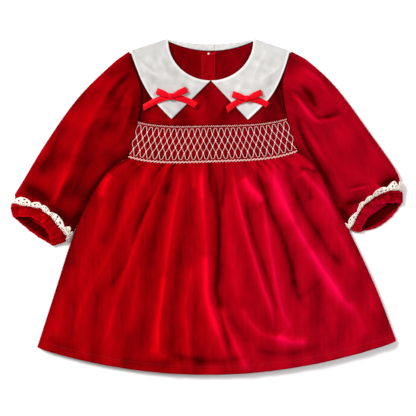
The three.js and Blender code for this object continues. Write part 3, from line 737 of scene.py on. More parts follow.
    def hole_rims(self, keep: Array, number: Array, under: Array) -> list[list[int]]:
        """The walls round the outline and the holes of openwork.

        Args:
            keep: which of the grid's faces are cloth.
            number: the outer vertex at each grid place.
            under: the inner vertex at each grid place.

        Returns:
            The vertices of each wall face.
        """
        around = np.pad(keep, 1)
        if self.closed:
            around[1:-1, 0] = keep[:, -1]
            around[1:-1, -1] = keep[:, 0]
        i, j = np.nonzero(keep)
        k = (j + 1) % self.middle.shape[1]
        sides = (
            (around[i, j + 1], (i, j), (i, k)),
            (around[i + 2, j + 1], (i + 1, k), (i + 1, j)),
            (around[i + 1, j], (i + 1, j), (i, j)),
            (around[i + 1, j + 2], (i, k), (i + 1, k)),
        )
        walls = []
        for joined, start, end in sides:
            wall = np.stack([number[start], number[end], under[end], under[start]], axis=1)
            walls += wall[~joined].tolist()
        return walls


def threads(
    name: str,
    paths: Sequence[Array],
    radius: float,
    material: Material,
    sides: int = 6,
    taper: float = 0.45,
) -> Piece:
    """Makes lengths of thread as one piece.

    Args:
        name: the piece's name.
        paths: the points along each length, in millimetres.
        radius: the thread's radius.
        material: its finish.
        sides: how many sides the thread has.
        taper: the radius of each length's two ends, as a share of the whole.

    Returns:
        The new object.
    """
    points: list[Array] = []
    faces: list[list[int]] = []
    maps: list[Array] = []
    count = 0
    turns = np.arange(sides) * TAU / sides
    for path in paths:
        along = np.gradient(path, axis=0)
        along /= np.maximum(np.linalg.norm(along, axis=1, keepdims=True), 1e-9)
        beside = np.cross(along, (0.0, 0.0, 1.0))
        beside /= np.maximum(np.linalg.norm(beside, axis=1, keepdims=True), 1e-9)
        above = np.cross(beside, along)
        size = np.full(len(path), radius)
        size[[0, -1]] *= taper
        ring = beside[:, None] * np.cos(turns)[:, None] + above[:, None] * np.sin(turns)[:, None]
        points.append((path[:, None] + ring * size[:, None, None]).reshape(-1, 3))
        run = np.concatenate([[0], np.cumsum(np.linalg.norm(np.diff(path, axis=0), axis=1))])
        u = np.repeat(run[:, None], sides, axis=1)
        v = np.repeat((turns * radius)[None, :], len(path), axis=0)
        maps.append(np.stack([u, v], axis=2).reshape(-1, 2) * MM)
        number = count + np.arange(len(path) * sides).reshape(-1, sides)
        beyond = np.roll(number, -1, axis=1)
        quads = np.stack([number[:-1], beyond[:-1], beyond[1:], number[1:]], axis=2)
        faces += quads.reshape(-1, 4).tolist()
        faces += [number[0, ::-1].tolist(), number[-1].tolist()]
        count += number.size
    return put_mesh(name, np.concatenate(points), faces, material, (), np.concatenate(maps))


def soften(piece: Piece, name: str, material: Material) -> Piece:
    """Names, smooths and finishes the small solid that was just modelled, with its place in its mesh."""
    piece.name = name
    modifier = piece.modifiers.new("soft", "SUBSURF")
    modifier.levels = modifier.render_levels = 1
    bpy.ops.object.modifier_apply(modifier="soft")
    bpy.ops.object.shade_smooth()
    bpy.ops.object.transform_apply(location=True, rotation=True, scale=True)
    piece.data.uv_layers[0].name = "cloth"
    piece.data.materials.append(material)
    piece.select_set(False)
    return piece


def dashes(path: Array, pitch: float, length: float, bow: float = 0.12) -> list[Array]:
    """Cuts a seam line into single stitches.

    Args:
        path: the points along the seam.
        pitch: the distance from one stitch to the next.
        length: the length of a stitch.
        bow: how far the middle of a stitch stands above its ends.

    Returns:
        The points along each stitch.
    """
    steps = np.linalg.norm(np.diff(path, axis=0), axis=1)
    run = np.concatenate([[0], np.cumsum(steps)])
    stitches = []
    for start in np.arange(pitch / 2, run[-1] - length, pitch):
        places = np.linspace(start, start + length, 4)
        stitch = np.stack([np.interp(places, run, path[:, axis]) for axis in range(3)], axis=1)
        stitch[:, 2] += bow * np.array([-1.0, 1.0, 1.0, -1.0])
        stitches.append(stitch)
    return stitches


# The lines that the pieces share


@dataclass(frozen=True)
class Lines:
    """Neck, shoulder, armhole, panel and waist lines, with the height of each layer."""

    neck_x: float = -4.5
    neck_y: float = 317.4
    neck_half_width: float = 60.0
    front_drop: float = 56.7
    back_drop: float = 13.6
    shoulder_y_out: float = 300.6
    shoulder_right: float = 105.6
    armhole_top: float = 302.0
    floor_z: float = VELVET / 2
    back_z: float = COLLAR_CLOTH + GAP + VELVET / 2
    shoulder_z: float = COLLAR_CLOTH + 2 * GAP + 1.5 * VELVET
    chest_z: float = 7.6
    waist_z: float = 6.0
    side_z: float = 4.6
    shoulder_run: float = 45.0
    side_run: float = 30.0
    front_rises: Place = (150.0, 185.0)
    back_rises: Place = (160.0, 190.0)
    collar_back_z: float = COLLAR_CLOTH / 2
    collar_lift: float = VELVET / 2 + 2 * GAP + COLLAR_CLOTH / 2
    waist_left: Place = (-121.0, 153.0)
    waist_right: Place = (118.0, 161.0)
    waist_sag: float = 11.0
    panel_left_y: float = 205.0
    panel_right_y: float = 209.5
    panel_sag: float = 8.0
    centre_back: float = 0.7

    def armhole_foot(self, side: Side) -> float:
        """The height along Y at which a side's armhole ends."""
        return side.pick(154.0, 162.0)

    def armhole(self, side: Side) -> Track:
        """The armhole's place along X, at shares down it."""
        stops = (0.0, 0.14, 0.32, 0.5, 0.65, 1.0)
        left = (-119.5, -112.6, -104.0, -103.0, -107.0, -122.0)
        right = (109.0, 102.4, 97.0, 99.5, 103.5, 119.0)
        return Track(stops, side.pick(left, right))

    def armhole_x(self, side: Side, y: Values) -> Array:
        """The armhole's place along X at a height along Y."""
        depth = self.armhole_top - self.armhole_foot(Side.LEFT)
        share = np.clip((self.armhole_top - np.asarray(y, dtype=float)) / depth, 0, 1)
        return self.armhole(side).at(share)

    def armhole_point(self, side: Side, share: Array, clear: float) -> Array:
        """Points down an armhole, moved out of the bodice by clear."""
        x = self.armhole(side).at(share) + side.out * clear
        return level_points(x, mix(self.armhole_top, self.armhole_foot(side), share))

    def from_armholes(self, x: Values, y: Values) -> Array:
        """How far in places lie from the nearer armhole."""
        return np.minimum(x - self.armhole_x(Side.LEFT, y), self.armhole_x(Side.RIGHT, y) - x)

    def shoulder_y(self, x: Values) -> Array:
        """The shoulder fold's height along Y."""
        past = np.maximum(np.abs(x - self.neck_x) - self.neck_half_width, 0)
        run = self.shoulder_right - self.neck_x - self.neck_half_width
        return self.neck_y - (self.neck_y - self.shoulder_y_out) * past / run

    def front_neck(self, side: Side, share: Values, grow: float = 0.0) -> Array:
        """Points of the front neckline from the centre front to a shoulder."""
        turn = np.asarray(share, dtype=float) * math.pi / 2
        x = self.neck_x + side.out * (self.neck_half_width + grow) * np.sin(turn)
        y = self.neck_y - (self.front_drop + grow) * np.cos(turn)
        return level_points(x, y)

    def back_neck_y(self, x: Values, drop: float) -> Array:
        """A curve across the back of the neck that drops below the shoulders in its middle."""
        return self.neck_y - drop * (1 - np.minimum(((x - self.neck_x) / self.neck_half_width) ** 2, 1))

    def front_lift(self, x: Values, y: Values) -> Array:
        """The height of the middle of the bodice's front layer."""
        chest = mix(self.shoulder_z, self.chest_z, smooth(self.shoulder_y(x) - y, 0, self.shoulder_run))
        body = mix(self.waist_z, chest, smooth(y, *self.front_rises))
        return mix(np.minimum(self.side_z, body), body, smooth(self.from_armholes(x, y), 0, self.side_run))

    def back_lift(self, y: Values) -> Array:
        """The height of the middle of the bodice's back layer."""
        return mix(self.floor_z, self.back_z, smooth(y, *self.back_rises))

    def hang(self, share: Values, sag: Values, flatness: Values) -> Array:
        """How far a line hangs down between its two ends."""
        return sag * (1 - np.abs(2 * share - 1) ** flatness)

    def waist_point(self, share: Array, clear: float) -> Array:
        """Points of the waist seam from left to right, moved up by clear."""
        x = mix(self.waist_left[0], self.waist_right[0], share)
        y = mix(self.waist_left[1], self.waist_right[1], share) + clear
        y = y - self.hang(share, self.waist_sag, 4)
        return level_points(x, y)

    def panel_top_point(self, share: Array, clear: float) -> Array:
        """Points along the top of the smocked panel from left to right, moved up by clear."""
        left = self.armhole_x(Side.LEFT, self.panel_left_y) + SEAM
        right = self.armhole_x(Side.RIGHT, self.panel_right_y) - SEAM
        x = mix(left, right, share)
        y = mix(self.panel_left_y, self.panel_right_y, share) - self.hang(share, self.panel_sag, 4) + clear
        return level_points(x, y)


LINES = Lines()


@dataclass(frozen=True)
class Cut:
    """What a sheet of cloth was cut to, in metres and square metres, and how it is held."""

    width: float
    length: float
    held: str = "laid"
    area: float | None = None


@dataclass
class Maker:
    """Attaches finished pieces to the root and logs them."""

    count: int = 0

    def place(
        self,
        piece: Piece,
        slot: str,
        replaced: Sequence[str] = (),
        cut: Cut | None = None,
        rests_on: Sequence[str] = (),
        carries: Sequence[Piece] = (),
    ) -> None:
        """Attaches a piece to the root, hides the solid nodes that it stands for and logs its faces.

        Args:
            piece: the finished object.
            slot: the material slot that it belongs to, not used.
            replaced: the solid nodes that it stands for.
            cut: what it was cut to, where it is a sheet of cloth.
            rests_on: the nodes or pieces that it lies on.
            carries: the smaller pieces sewn on it.
        """
        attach(piece, "root")
        if replaced:
            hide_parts(*replaced)
        if cut:
            on, sewn = list(rests_on), list(carries)
            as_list(on)
            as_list(sewn)
        self.count += 1
        log.info("%s: %d faces", piece.name, len(piece.data.polygons))


# Skirt


def fold(shade: float, height: float, width: float, *path: Place) -> Crease:
    """A long fold of one painted highlight or shade and one height along its path, which it fades into at
    both ends.
    """
    return Crease(path, height, width, shade)


@dataclass
class Skirt:
    """The gathered skirt: a front with rolled sides over a flat back.

    Each fold has its painted highlight or shade, height, width and path: first the crests, then the hollows
    between them.
    """

    rows: int = 150
    columns: int = 300
    roll_columns: int = 12
    back_rows: int = 70
    back_columns: int = 150
    front_cut: Cut = Cut(0.6, 0.32, "gathered", 0.165)
    back_cut: Cut = Cut(0.55, 0.32, "gathered", 0.15)
    stops: tuple[float, ...] = (0.0, 0.05, 0.2, 0.42, 0.7, 1.0)
    left_x: tuple[float, ...] = (-121.0, -142.0, -172.0, -198.0, -222.0, -248.0)
    left_y: tuple[float, ...] = (153.0, 140.0, 101.0, 42.0, -32.0, -113.0)
    right_x: tuple[float, ...] = (118.0, 141.5, 164.0, 195.0, 227.0, 256.0)
    right_y: tuple[float, ...] = (161.0, 143.0, 101.0, 40.0, -29.0, -104.0)
    hem_sag: float = 42.0
    roll: float = 14.0
    loft: Track = Track((0.0, 0.06, 0.2, 0.6, 0.92, 1.0), (6.4, 9.6, 11.0, 11.0, 9.6, 8.4))
    gathers: int = 17
    back_gathers: int = 11
    hem_depth: float = 11.0
    hem_stitch: Place = (3.2, 2.4)
    hem_thread: float = 0.24
    length: float = 295.0
    folds: tuple[Crease, ...] = (
        # Crests
        fold(0.14, 2.6, 9, (-128, 160), (-136, 140), (-151, 118), (-156, 80), (-166, 42), (-172, 10)),
        fold(0.31, 2.4, 8, (-142, 130), (-152, 117), (-156, 96)),
        fold(0.19, 3.2, 10, (-86, 175), (-94, 136), (-114, 87), (-130, 56), (-140, 28), (-169, -23),
             (-189, -68), (-200, -130)),
        fold(0.17, 1.0, 7, (-88, 156), (-94, 134), (-100, 112)),
        fold(0.23, 3.8, 8, (-58, 175), (-67, 138), (-87, 87), (-97, 64), (-117, 10), (-134, -40),
             (-142, -72), (-164, -140)),
        fold(0.26, 4.6, 7, (-42, 175), (-48, 120), (-56, 77), (-60, 50), (-68, -5), (-72, -38),
             (-79, -99), (-74, -145)),
        fold(0.17, 1.0, 7, (-68, -10), (-72, -38), (-77, -80), (-77, -124)),
        fold(0.18, 2.0, 7, (-92, -115), (-79, -119), (-64, -128)),
        fold(0.26, 5.0, 9, (-19, 175), (-17, 122), (-12, 50), (-10, -10), (-9, -40), (-4, -62),
             (13, -111), (26, -160)),
        fold(0.26, 1.0, 8, (-12, 20), (-10, -10), (-9, -40), (-3, -64), (8, -98)),
        fold(0.24, 0.8, 4, (-18, 146), (-17, 122), (-15, 92)),
        fold(0.19, 0.8, 4, (-27, 146), (-27, 130), (-28, 108)),
        fold(0.29, 3.5, 7, (8, -50), (20, -86), (32, -112), (50, -150)),
        fold(0.16, 2.4, 7, (-30, 6), (-36, -30), (-40, -58), (-37, -96), (-32, -160)),
        fold(0.1, 1.6, 6, (-102, 6), (-108, -26), (-114, -60), (-119, -96)),
        fold(0.29, 4.2, 6, (22, 175), (29, 116), (33, 96), (48, 38), (58, 6), (67, -23), (77, -51),
             (87, -92)),
        fold(0.24, 4.0, 8, (36, 175), (46, 118), (67, 94), (71, 75), (79, 22), (89, -35), (95, -60),
             (120, -110)),
        fold(0.3, 1.6, 9, (40, 126), (54, 109), (70, 90)),
        fold(0.31, 3.0, 8, (88, -95), (106, -104), (132, -104)),
        fold(0.17, 2.0, 6, (36, -52), (50, -76), (66, -92), (88, -99), (110, -104)),
        fold(0.29, 5.2, 9, (76, 175), (83, 132), (91, 108), (115, 56), (148, 2), (165, -23), (181, -47),
             (200, -70)),
        fold(0.19, 1.2, 14, (80, 158), (88, 118), (98, 88), (114, 58)),
        fold(0.14, 0.8, 9, (132, 27), (148, 2), (165, -23), (182, -48)),
        fold(0.24, 2.2, 6, (108, 155), (124, 147), (142, 136)),
        fold(0.24, 2.4, 7, (122, 136), (132, 124), (148, 107), (162, 87), (176, 56)),
        fold(0.12, 1.0, 5, (72, 154), (74, 138), (75, 116)),
        fold(0.12, 2.0, 8, (148, 92), (168, 56), (186, 24), (200, -6)),
        fold(0.14, 1.4, 9, (188, -46), (203, -72), (213, -98)),
        fold(0.1, 1.0, 12, (20, 110), (20, 60), (26, 0), (34, -50)),
        fold(0.07, 1.4, 9, (-190, 10), (-208, -46), (-222, -100)),
        # Hollows
        fold(-0.13, -2.0, 8, (-112, 150), (-120, 130), (-136, 78), (-148, 50), (-160, 28)),
        fold(-0.16, -3.0, 6, (-66, 150), (-78, 117), (-105, 62), (-114, 35), (-121, 12), (-137, -14),
             (-150, -34)),
        fold(-0.07, -1.4, 7, (-136, -12), (-158, -40), (-170, -80), (-176, -120)),
        fold(-0.1, -1.0, 5, (-90, 94), (-105, 62), (-116, 28)),
        fold(-0.12, -2.6, 9, (-54, 175), (-60, 132), (-74, 86), (-87, 20), (-92, -26), (-99, -75),
             (-106, -130)),
        fold(-0.16, -1.6, 7, (-54, 156), (-61, 130), (-69, 98)),
        fold(-0.08, -2.2, 8, (-46, 70), (-50, 10), (-52, -30), (-58, -71), (-56, -120), (-53, -160)),
        fold(-0.06, -1.6, 5, (-25, -16), (-26, -56), (-27, -100), (-28, -132)),
        fold(-0.22, -4.0, 6, (1, 175), (3, 110), (7, 60), (5, -6), (3, -31), (11, -70), (19, -100),
             (26, -134)),
        fold(-0.12, -1.2, 4, (-8, 156), (-6, 130), (-1, 90)),
        fold(-0.14, -1.2, 3, (16, 156), (14, 120), (11, 80)),
        fold(-0.18, -3.0, 5, (42, 100), (50, 63), (58, 34), (71, -2), (82, -38), (92, -70)),
        fold(-0.2, -4.4, 7, (56, 175), (62, 130), (77, 83), (87, 62), (99, 33), (110, -6), (122, -60)),
        fold(-0.14, -1.0, 10, (60, 140), (72, 96), (90, 58)),
        fold(-0.1, -1.6, 6, (150, -14), (134, -32), (114, -44)),
        fold(-0.08, -1.0, 7, (110, -14), (119, -40), (130, -60)),
        fold(-0.2, -4.0, 8, (96, 160), (108, 120), (120, 92), (136, 63), (149, 44), (165, 18), (184, -2)),
        fold(-0.12, -1.4, 8, (120, 128), (130, 112), (138, 92)),
        fold(-0.22, -2.6, 4, (118, 140), (131, 138), (148, 133)),
        fold(-0.13, -1.4, 8, (-134, -129), (-98, -134), (-58, -134)),
        fold(-0.17, -1.2, 8, (-62, -122), (-20, -130), (12, -131), (50, -124)),
        fold(-0.15, -1.4, 8, (56, -116), (88, -120), (112, -119), (152, -108)),
        fold(-0.1, -1.2, 9, (20, -64), (32, -84), (52, -108)),
        fold(-0.12, -1.0, 9, (-234, -96), (-212, -110), (-186, -116)),
        fold(-0.08, -1.2, 8, (150, -66), (160, -90), (166, -116)),
        fold(-0.08, -1.2, 8, (222, -60), (228, -80), (236, -96)),
    )

    def row_shares(self) -> Array:
        """The share down the skirt at which each row of the front lies, closer together at the waist."""
        k = np.linspace(0, 1, self.rows)
        return mix(k * k, k, 0.6)

    def sides(self, at: Array) -> list[Array]:
        """The skirt's left and right edges at shares down it."""
        lines = ((self.left_x, self.left_y), (self.right_x, self.right_y))
        return [np.stack([Track(self.stops, line).at(at) for line in pair], axis=-1) for pair in lines]

    def plan(self, at: Array, share: Array, inset: float = 0.0) -> tuple[Array, Array]:
        """Places on the laid skirt.

        Args:
            at: shares down the skirt, a row each.
            share: shares across it.
            inset: how far its two edges are moved in.

        Returns:
            The places along X and along Y.
        """
        left, right = self.sides(at)
        x = mix(left[..., 0] + inset, right[..., 0] - inset, share)
        sag = mix(LINES.waist_sag, self.hem_sag, at)
        flatness = mix(4.0, 2.0, np.minimum(at * 4, 1))
        return x, mix(left[..., 1], right[..., 1], share) - LINES.hang(share, sag, flatness)

    def gathering(self, at: Array, share: Array) -> Array:
        """The gathers that fan out from under the smocking, each of its own depth and length."""
        sway = 1.5 * np.sin(TAU * 2.3 * share + 0.7) + 0.9 * np.sin(TAU * 5.1 * share)
        depth = 0.55 + 0.45 * np.sin(TAU * 3.7 * share + 2.0)
        reach = 0.04 + 0.05 * (0.5 + 0.5 * np.sin(TAU * 4.3 * share + 1.1))
        tucks = ((1 - np.cos(TAU * self.gathers * share + sway)) / 2) ** 3
        main = 2.0 * depth * np.exp(-at / reach) * (0.4 - 1.4 * tucks)
        small = 0.3 * np.exp(-at / (0.6 * reach)) * np.cos(TAU * 41 * share + 2.2 * np.sin(TAU * 4 * share))
        tips = 0.5 * np.exp(-at / 0.18) * np.sin(TAU * 12.5 * share + 2.6 * np.sin(TAU * 2 * share))
        return 0.8 + main + small + tips

    def front(self) -> Cloth:
        """The front, whose sides roll down to the surface that the dress lies on."""
        at = self.row_shares()[:, None]
        left, right = self.sides(at)
        width = right[..., 0] - left[..., 0]
        turn = np.linspace(0, math.pi / 2, self.roll_columns)[:-1]
        roll_in = np.broadcast_to(self.roll * (1 - np.cos(turn)), (self.rows, len(turn)))
        flat = mix(self.roll, width - self.roll, np.linspace(0, 1, self.columns)[None])
        share = np.concatenate([roll_in, flat, width - roll_in[:, ::-1]], axis=1) / width
        rise = np.concatenate([np.sin(turn), np.ones(self.columns), np.sin(turn)[::-1]])
        x, y = self.plan(at, share)
        relief = Relief.of(x, y, self.folds)
        begun = smooth(at, -0.06, 0.12) * mix(0.72, 1.0, smooth(x, -120, -10))
        gathers = self.gathering(at, share)
        uneven = 0.6 * ripple(x, y * 0.45, 38, 3) * smooth(at, 0.1, 0.4)
        z = rise * (self.loft.at(at) + relief.rise * begun + gathers + uneven)
        y[0] -= SEAM * 0.2
        from_hem = (1 - at) * self.length
        band = 0.45 * (1 - smooth(from_hem, self.hem_depth - 0.5, self.hem_depth + 1.0))
        groove = -0.35 * np.exp(-(((from_hem - self.hem_depth) / 1.2) ** 2))
        pucker = 0.18 * ripple(x, y, 7, 5) * np.exp(-(((from_hem - self.hem_depth) / 6) ** 2))
        streaks = 0.02 * ripple(x, y * 0.1, 7, 13) + 0.05 * ripple(x, y * 0.4, 36, 17)
        # Painted side shade: the left half painted darker than the right, as the light falls more on the
        # right
        ground = mix(-0.2, -0.14, smooth(x, -60, 110))
        # Painted highlight and shade of the folds, and painted shade in the gathers' tucks, over uneven
        # streaks
        tone = relief.tone * begun + 0.09 * (gathers - 0.8) + streaks + ground
        middle = np.stack([x, y, z], axis=2)
        lift = (band + groove + pucker) * rise
        return Cloth("skirt_front_velvet", middle, VELVET, lift=lift, standing=True, tone=tone)

    def back(self) -> Cloth:
        """The back, which lies flat, with shallow gathers and the front's folds, mirrored and faint."""
        at = np.linspace(0, 1, self.back_rows)[:, None]
        share = np.linspace(0, 1, self.back_columns)[None]
        x, y = self.plan(at, share, VELVET / 2 + 4 * GAP)
        from_side = np.minimum(share, 1 - share)
        inside = smooth(from_side, 0, 0.08) * (1 - smooth(at, 0.3, 0.5))
        waves = np.cos(TAU * self.back_gathers * share)
        folds = Relief.of(-x, y, self.folds)
        z = LINES.floor_z + inside * 1.1 * np.exp(-at / 0.12) * (0.5 + 0.5 * waves)
        z = z + 0.3 * np.maximum(folds.rise, 0) * smooth(from_side, 0.02, 0.1)
        # Painted highlight and shade of the mirrored folds, and painted shade in the gathers near the waist
        tone = 0.6 * folds.tone + 0.1 * np.exp(-at / 0.1) * waves
        y[0] -= SEAM
        return Cloth("skirt_back_velvet", np.stack([x, y, z], axis=2), VELVET, tone=tone)

    def hem_stitches(self, front: Cloth) -> list[Array]:
        """The stitches that hold the hem, on the front."""
        row = np.interp(1 - self.hem_depth / self.length, self.row_shares(), np.arange(self.rows))
        margin = 8
        columns = np.linspace(margin, front.middle.shape[1] - 1 - margin, 700)
        return dashes(front.on(np.full_like(columns, row), columns, 0.05), *self.hem_stitch)

    def make(self, maker: Maker, finishes: Finishes) -> None:
        front = self.front()
        lines = self.hem_stitches(front)
        stitches = threads("hem_stitches", lines, self.hem_thread, finishes.red_thread, sides=4)
        maker.place(stitches, "velvet")
        piece = front.build(finishes.velvet)
        maker.place(piece, "velvet", ["skirt_front"], self.front_cut, ["skirt_back"], [stitches])
        piece = self.back().build(finishes.velvet)
        maker.place(piece, "velvet", ["skirt_back"], self.back_cut)


# Smocking


@dataclass
class Smocking:
    """The smocked panel: pleats caught into lens-shaped cells by cream thread."""

    loops: int = 26
    bands: int = 5
    trellis_top: float = 0.09
    trellis_foot: float = 0.905
    rise: float = 1.2
    rows: int = 84
    columns: int = 520
    strand_end: float = 0.3
    knot_half: float = 0.11
    knot_apart: float = 0.08
    strand_thread: float = 0.37
    knot_thread: float = 0.46
    border_thread: float = 0.44
    cut: Cut = Cut(0.25, 0.062, "gathered")

    def panel(self) -> Cloth:
        """The pleated velvet, puffed up inside each cell of the trellis."""
        down = np.linspace(0, 1, self.rows)[:, None]
        share = np.linspace(0, 1, self.columns)[None]
        top = LINES.panel_top_point(share, -SEAM * 0.6)
        foot = LINES.waist_point(share, SEAM * 0.6)
        middle = mix(top, foot, down[..., None])
        middle[..., 2] = LINES.front_lift(middle[..., 0], middle[..., 1])
        band = (down - self.trellis_top) / (self.trellis_foot - self.trellis_top) * self.bands
        swing = (1 - np.cos(math.pi * np.clip(band, 0, self.bands))) / 2
        pitch = share * self.loops - 0.5
        first = np.sin(math.pi * (pitch - 0.5 * swing))
        second = np.sin(math.pi * (pitch + 0.5 * swing))
        puff = np.minimum(2 * np.abs(first * second), 1) ** 0.6
        pleat = 0.16 * np.cos(TAU * 2 * pitch)
        edge = smooth(down, 0, 0.05) * smooth(1 - down, 0, 0.06)
        lift = self.rise * (0.15 + 0.85 * puff) * mix(0.5, 1, edge) + pleat * edge
        # Painted shade: the panel painted darker overall, lighter on each puff and darker in the pleats
        # between them
        tone = 0.34 * (puff - 0.75) - 0.34
        return Cloth("smocked_panel_velvet", middle, VELVET, lift=lift, upright=True, tone=tone)

    def spot(self, panel: Cloth, pitch: Array, band: Array, above: float) -> Array:
        """Points over the panel, at places counted in loops across it and in bands down its trellis."""
        down = self.trellis_top + (self.trellis_foot - self.trellis_top) * band / self.bands
        share = np.clip(pitch / self.loops, 0.004, 0.996)
        return panel.on(down * (self.rows - 1), share * (self.columns - 1), above)

    def strand(self) -> tuple[Array, Array]:
        """How far a strand swings to one side, in half pitches, and how many bands down the trellis."""
        end = self.strand_end
        turn = np.linspace(0, math.pi / 2, 7)[:-1]
        bow_out = 0.5 * np.sin(turn)
        bow_fall = end * (1 - np.cos(turn))
        inner = np.linspace(end, self.bands - end, 10 * self.bands + 1)
        zigzag = 1 - np.abs(inner % 2 - 1)
        wave = (1 - np.cos(math.pi * inner)) / 2
        swing = mix(zigzag, wave, 0.5)
        swing = np.where(inner < 1, mix(0.5, 1.0, (inner - end) / (1 - end)), swing)
        last = mix(0.5, 0.0, (self.bands - end - inner) / (1 - end))
        swing = np.where(inner > self.bands - 1, last, swing)
        out = np.concatenate([bow_out, swing, 1 - bow_out[::-1]])
        return out, np.concatenate([bow_fall, inner, self.bands - bow_fall[::-1]])

    def trellis(self, panel: Cloth) -> list[Array]:
        """Both strands of every loop."""
        swing, band = self.strand()
        strands = [loop + 0.5 + side * swing for loop in range(self.loops) for side in (-0.5, 0.5)]
        return [self.spot(panel, pitch, band, 0.35) for pitch in strands]

    def knots(self, panel: Cloth) -> list[Array]:
        """The short bars of thread where two strands are caught together."""
        bars = []
        for band in range(1, self.bands):
            first = 0.0 if band % 2 else 0.5
            for middle in np.arange(first, self.loops + 0.25):
                for step in (-self.knot_apart / 2, self.knot_apart / 2):
                    pitch = np.linspace(-self.knot_half, self.knot_half, 5) + middle
                    bar = self.spot(panel, pitch, np.full(5, band + step), 0.55)
                    bar[:, 2] += np.array([-0.35, 0.1, 0.2, 0.1, -0.35])
                    bars.append(bar)
        return bars

    def borders(self, panel: Cloth) -> list[Array]:
        """The zigzag above the trellis and the two flatter waves below it."""
        corners = np.arange(0, self.loops * 6 + 1)
        top = self.spot(panel, corners / 6, np.where(corners % 2, -0.42, -0.2), 0.3)
        fine = np.linspace(0, self.loops, self.loops * 12 + 1)
        turn = TAU * fine * 2
        first = self.spot(panel, fine, self.bands + 0.33 + 0.09 * np.sin(turn), 0.3)
        second = self.spot(panel, fine, self.bands + 0.45 + 0.07 * np.sin(turn + 1.2), 0.3)
        return [top, first, second]

    def make(self, maker: Maker, finishes: Finishes) -> None:
        panel = self.panel()
        cream, white = finishes.smocking_thread, finishes.white_thread
        sewn = [
            threads("smocking_trellis", self.trellis(panel), self.strand_thread, cream),
            threads("smocking_knots", self.knots(panel), self.knot_thread, white, sides=5),
            threads("smocking_borders", self.borders(panel), self.border_thread, cream),
        ]
        for thread in sewn:
            maker.place(thread, "velvet")
        piece = panel.build(finishes.velvet)
        maker.place(piece, "velvet", ["smocked_panel"], self.cut, ["back_left", "back_right"], sewn)


# Bodice


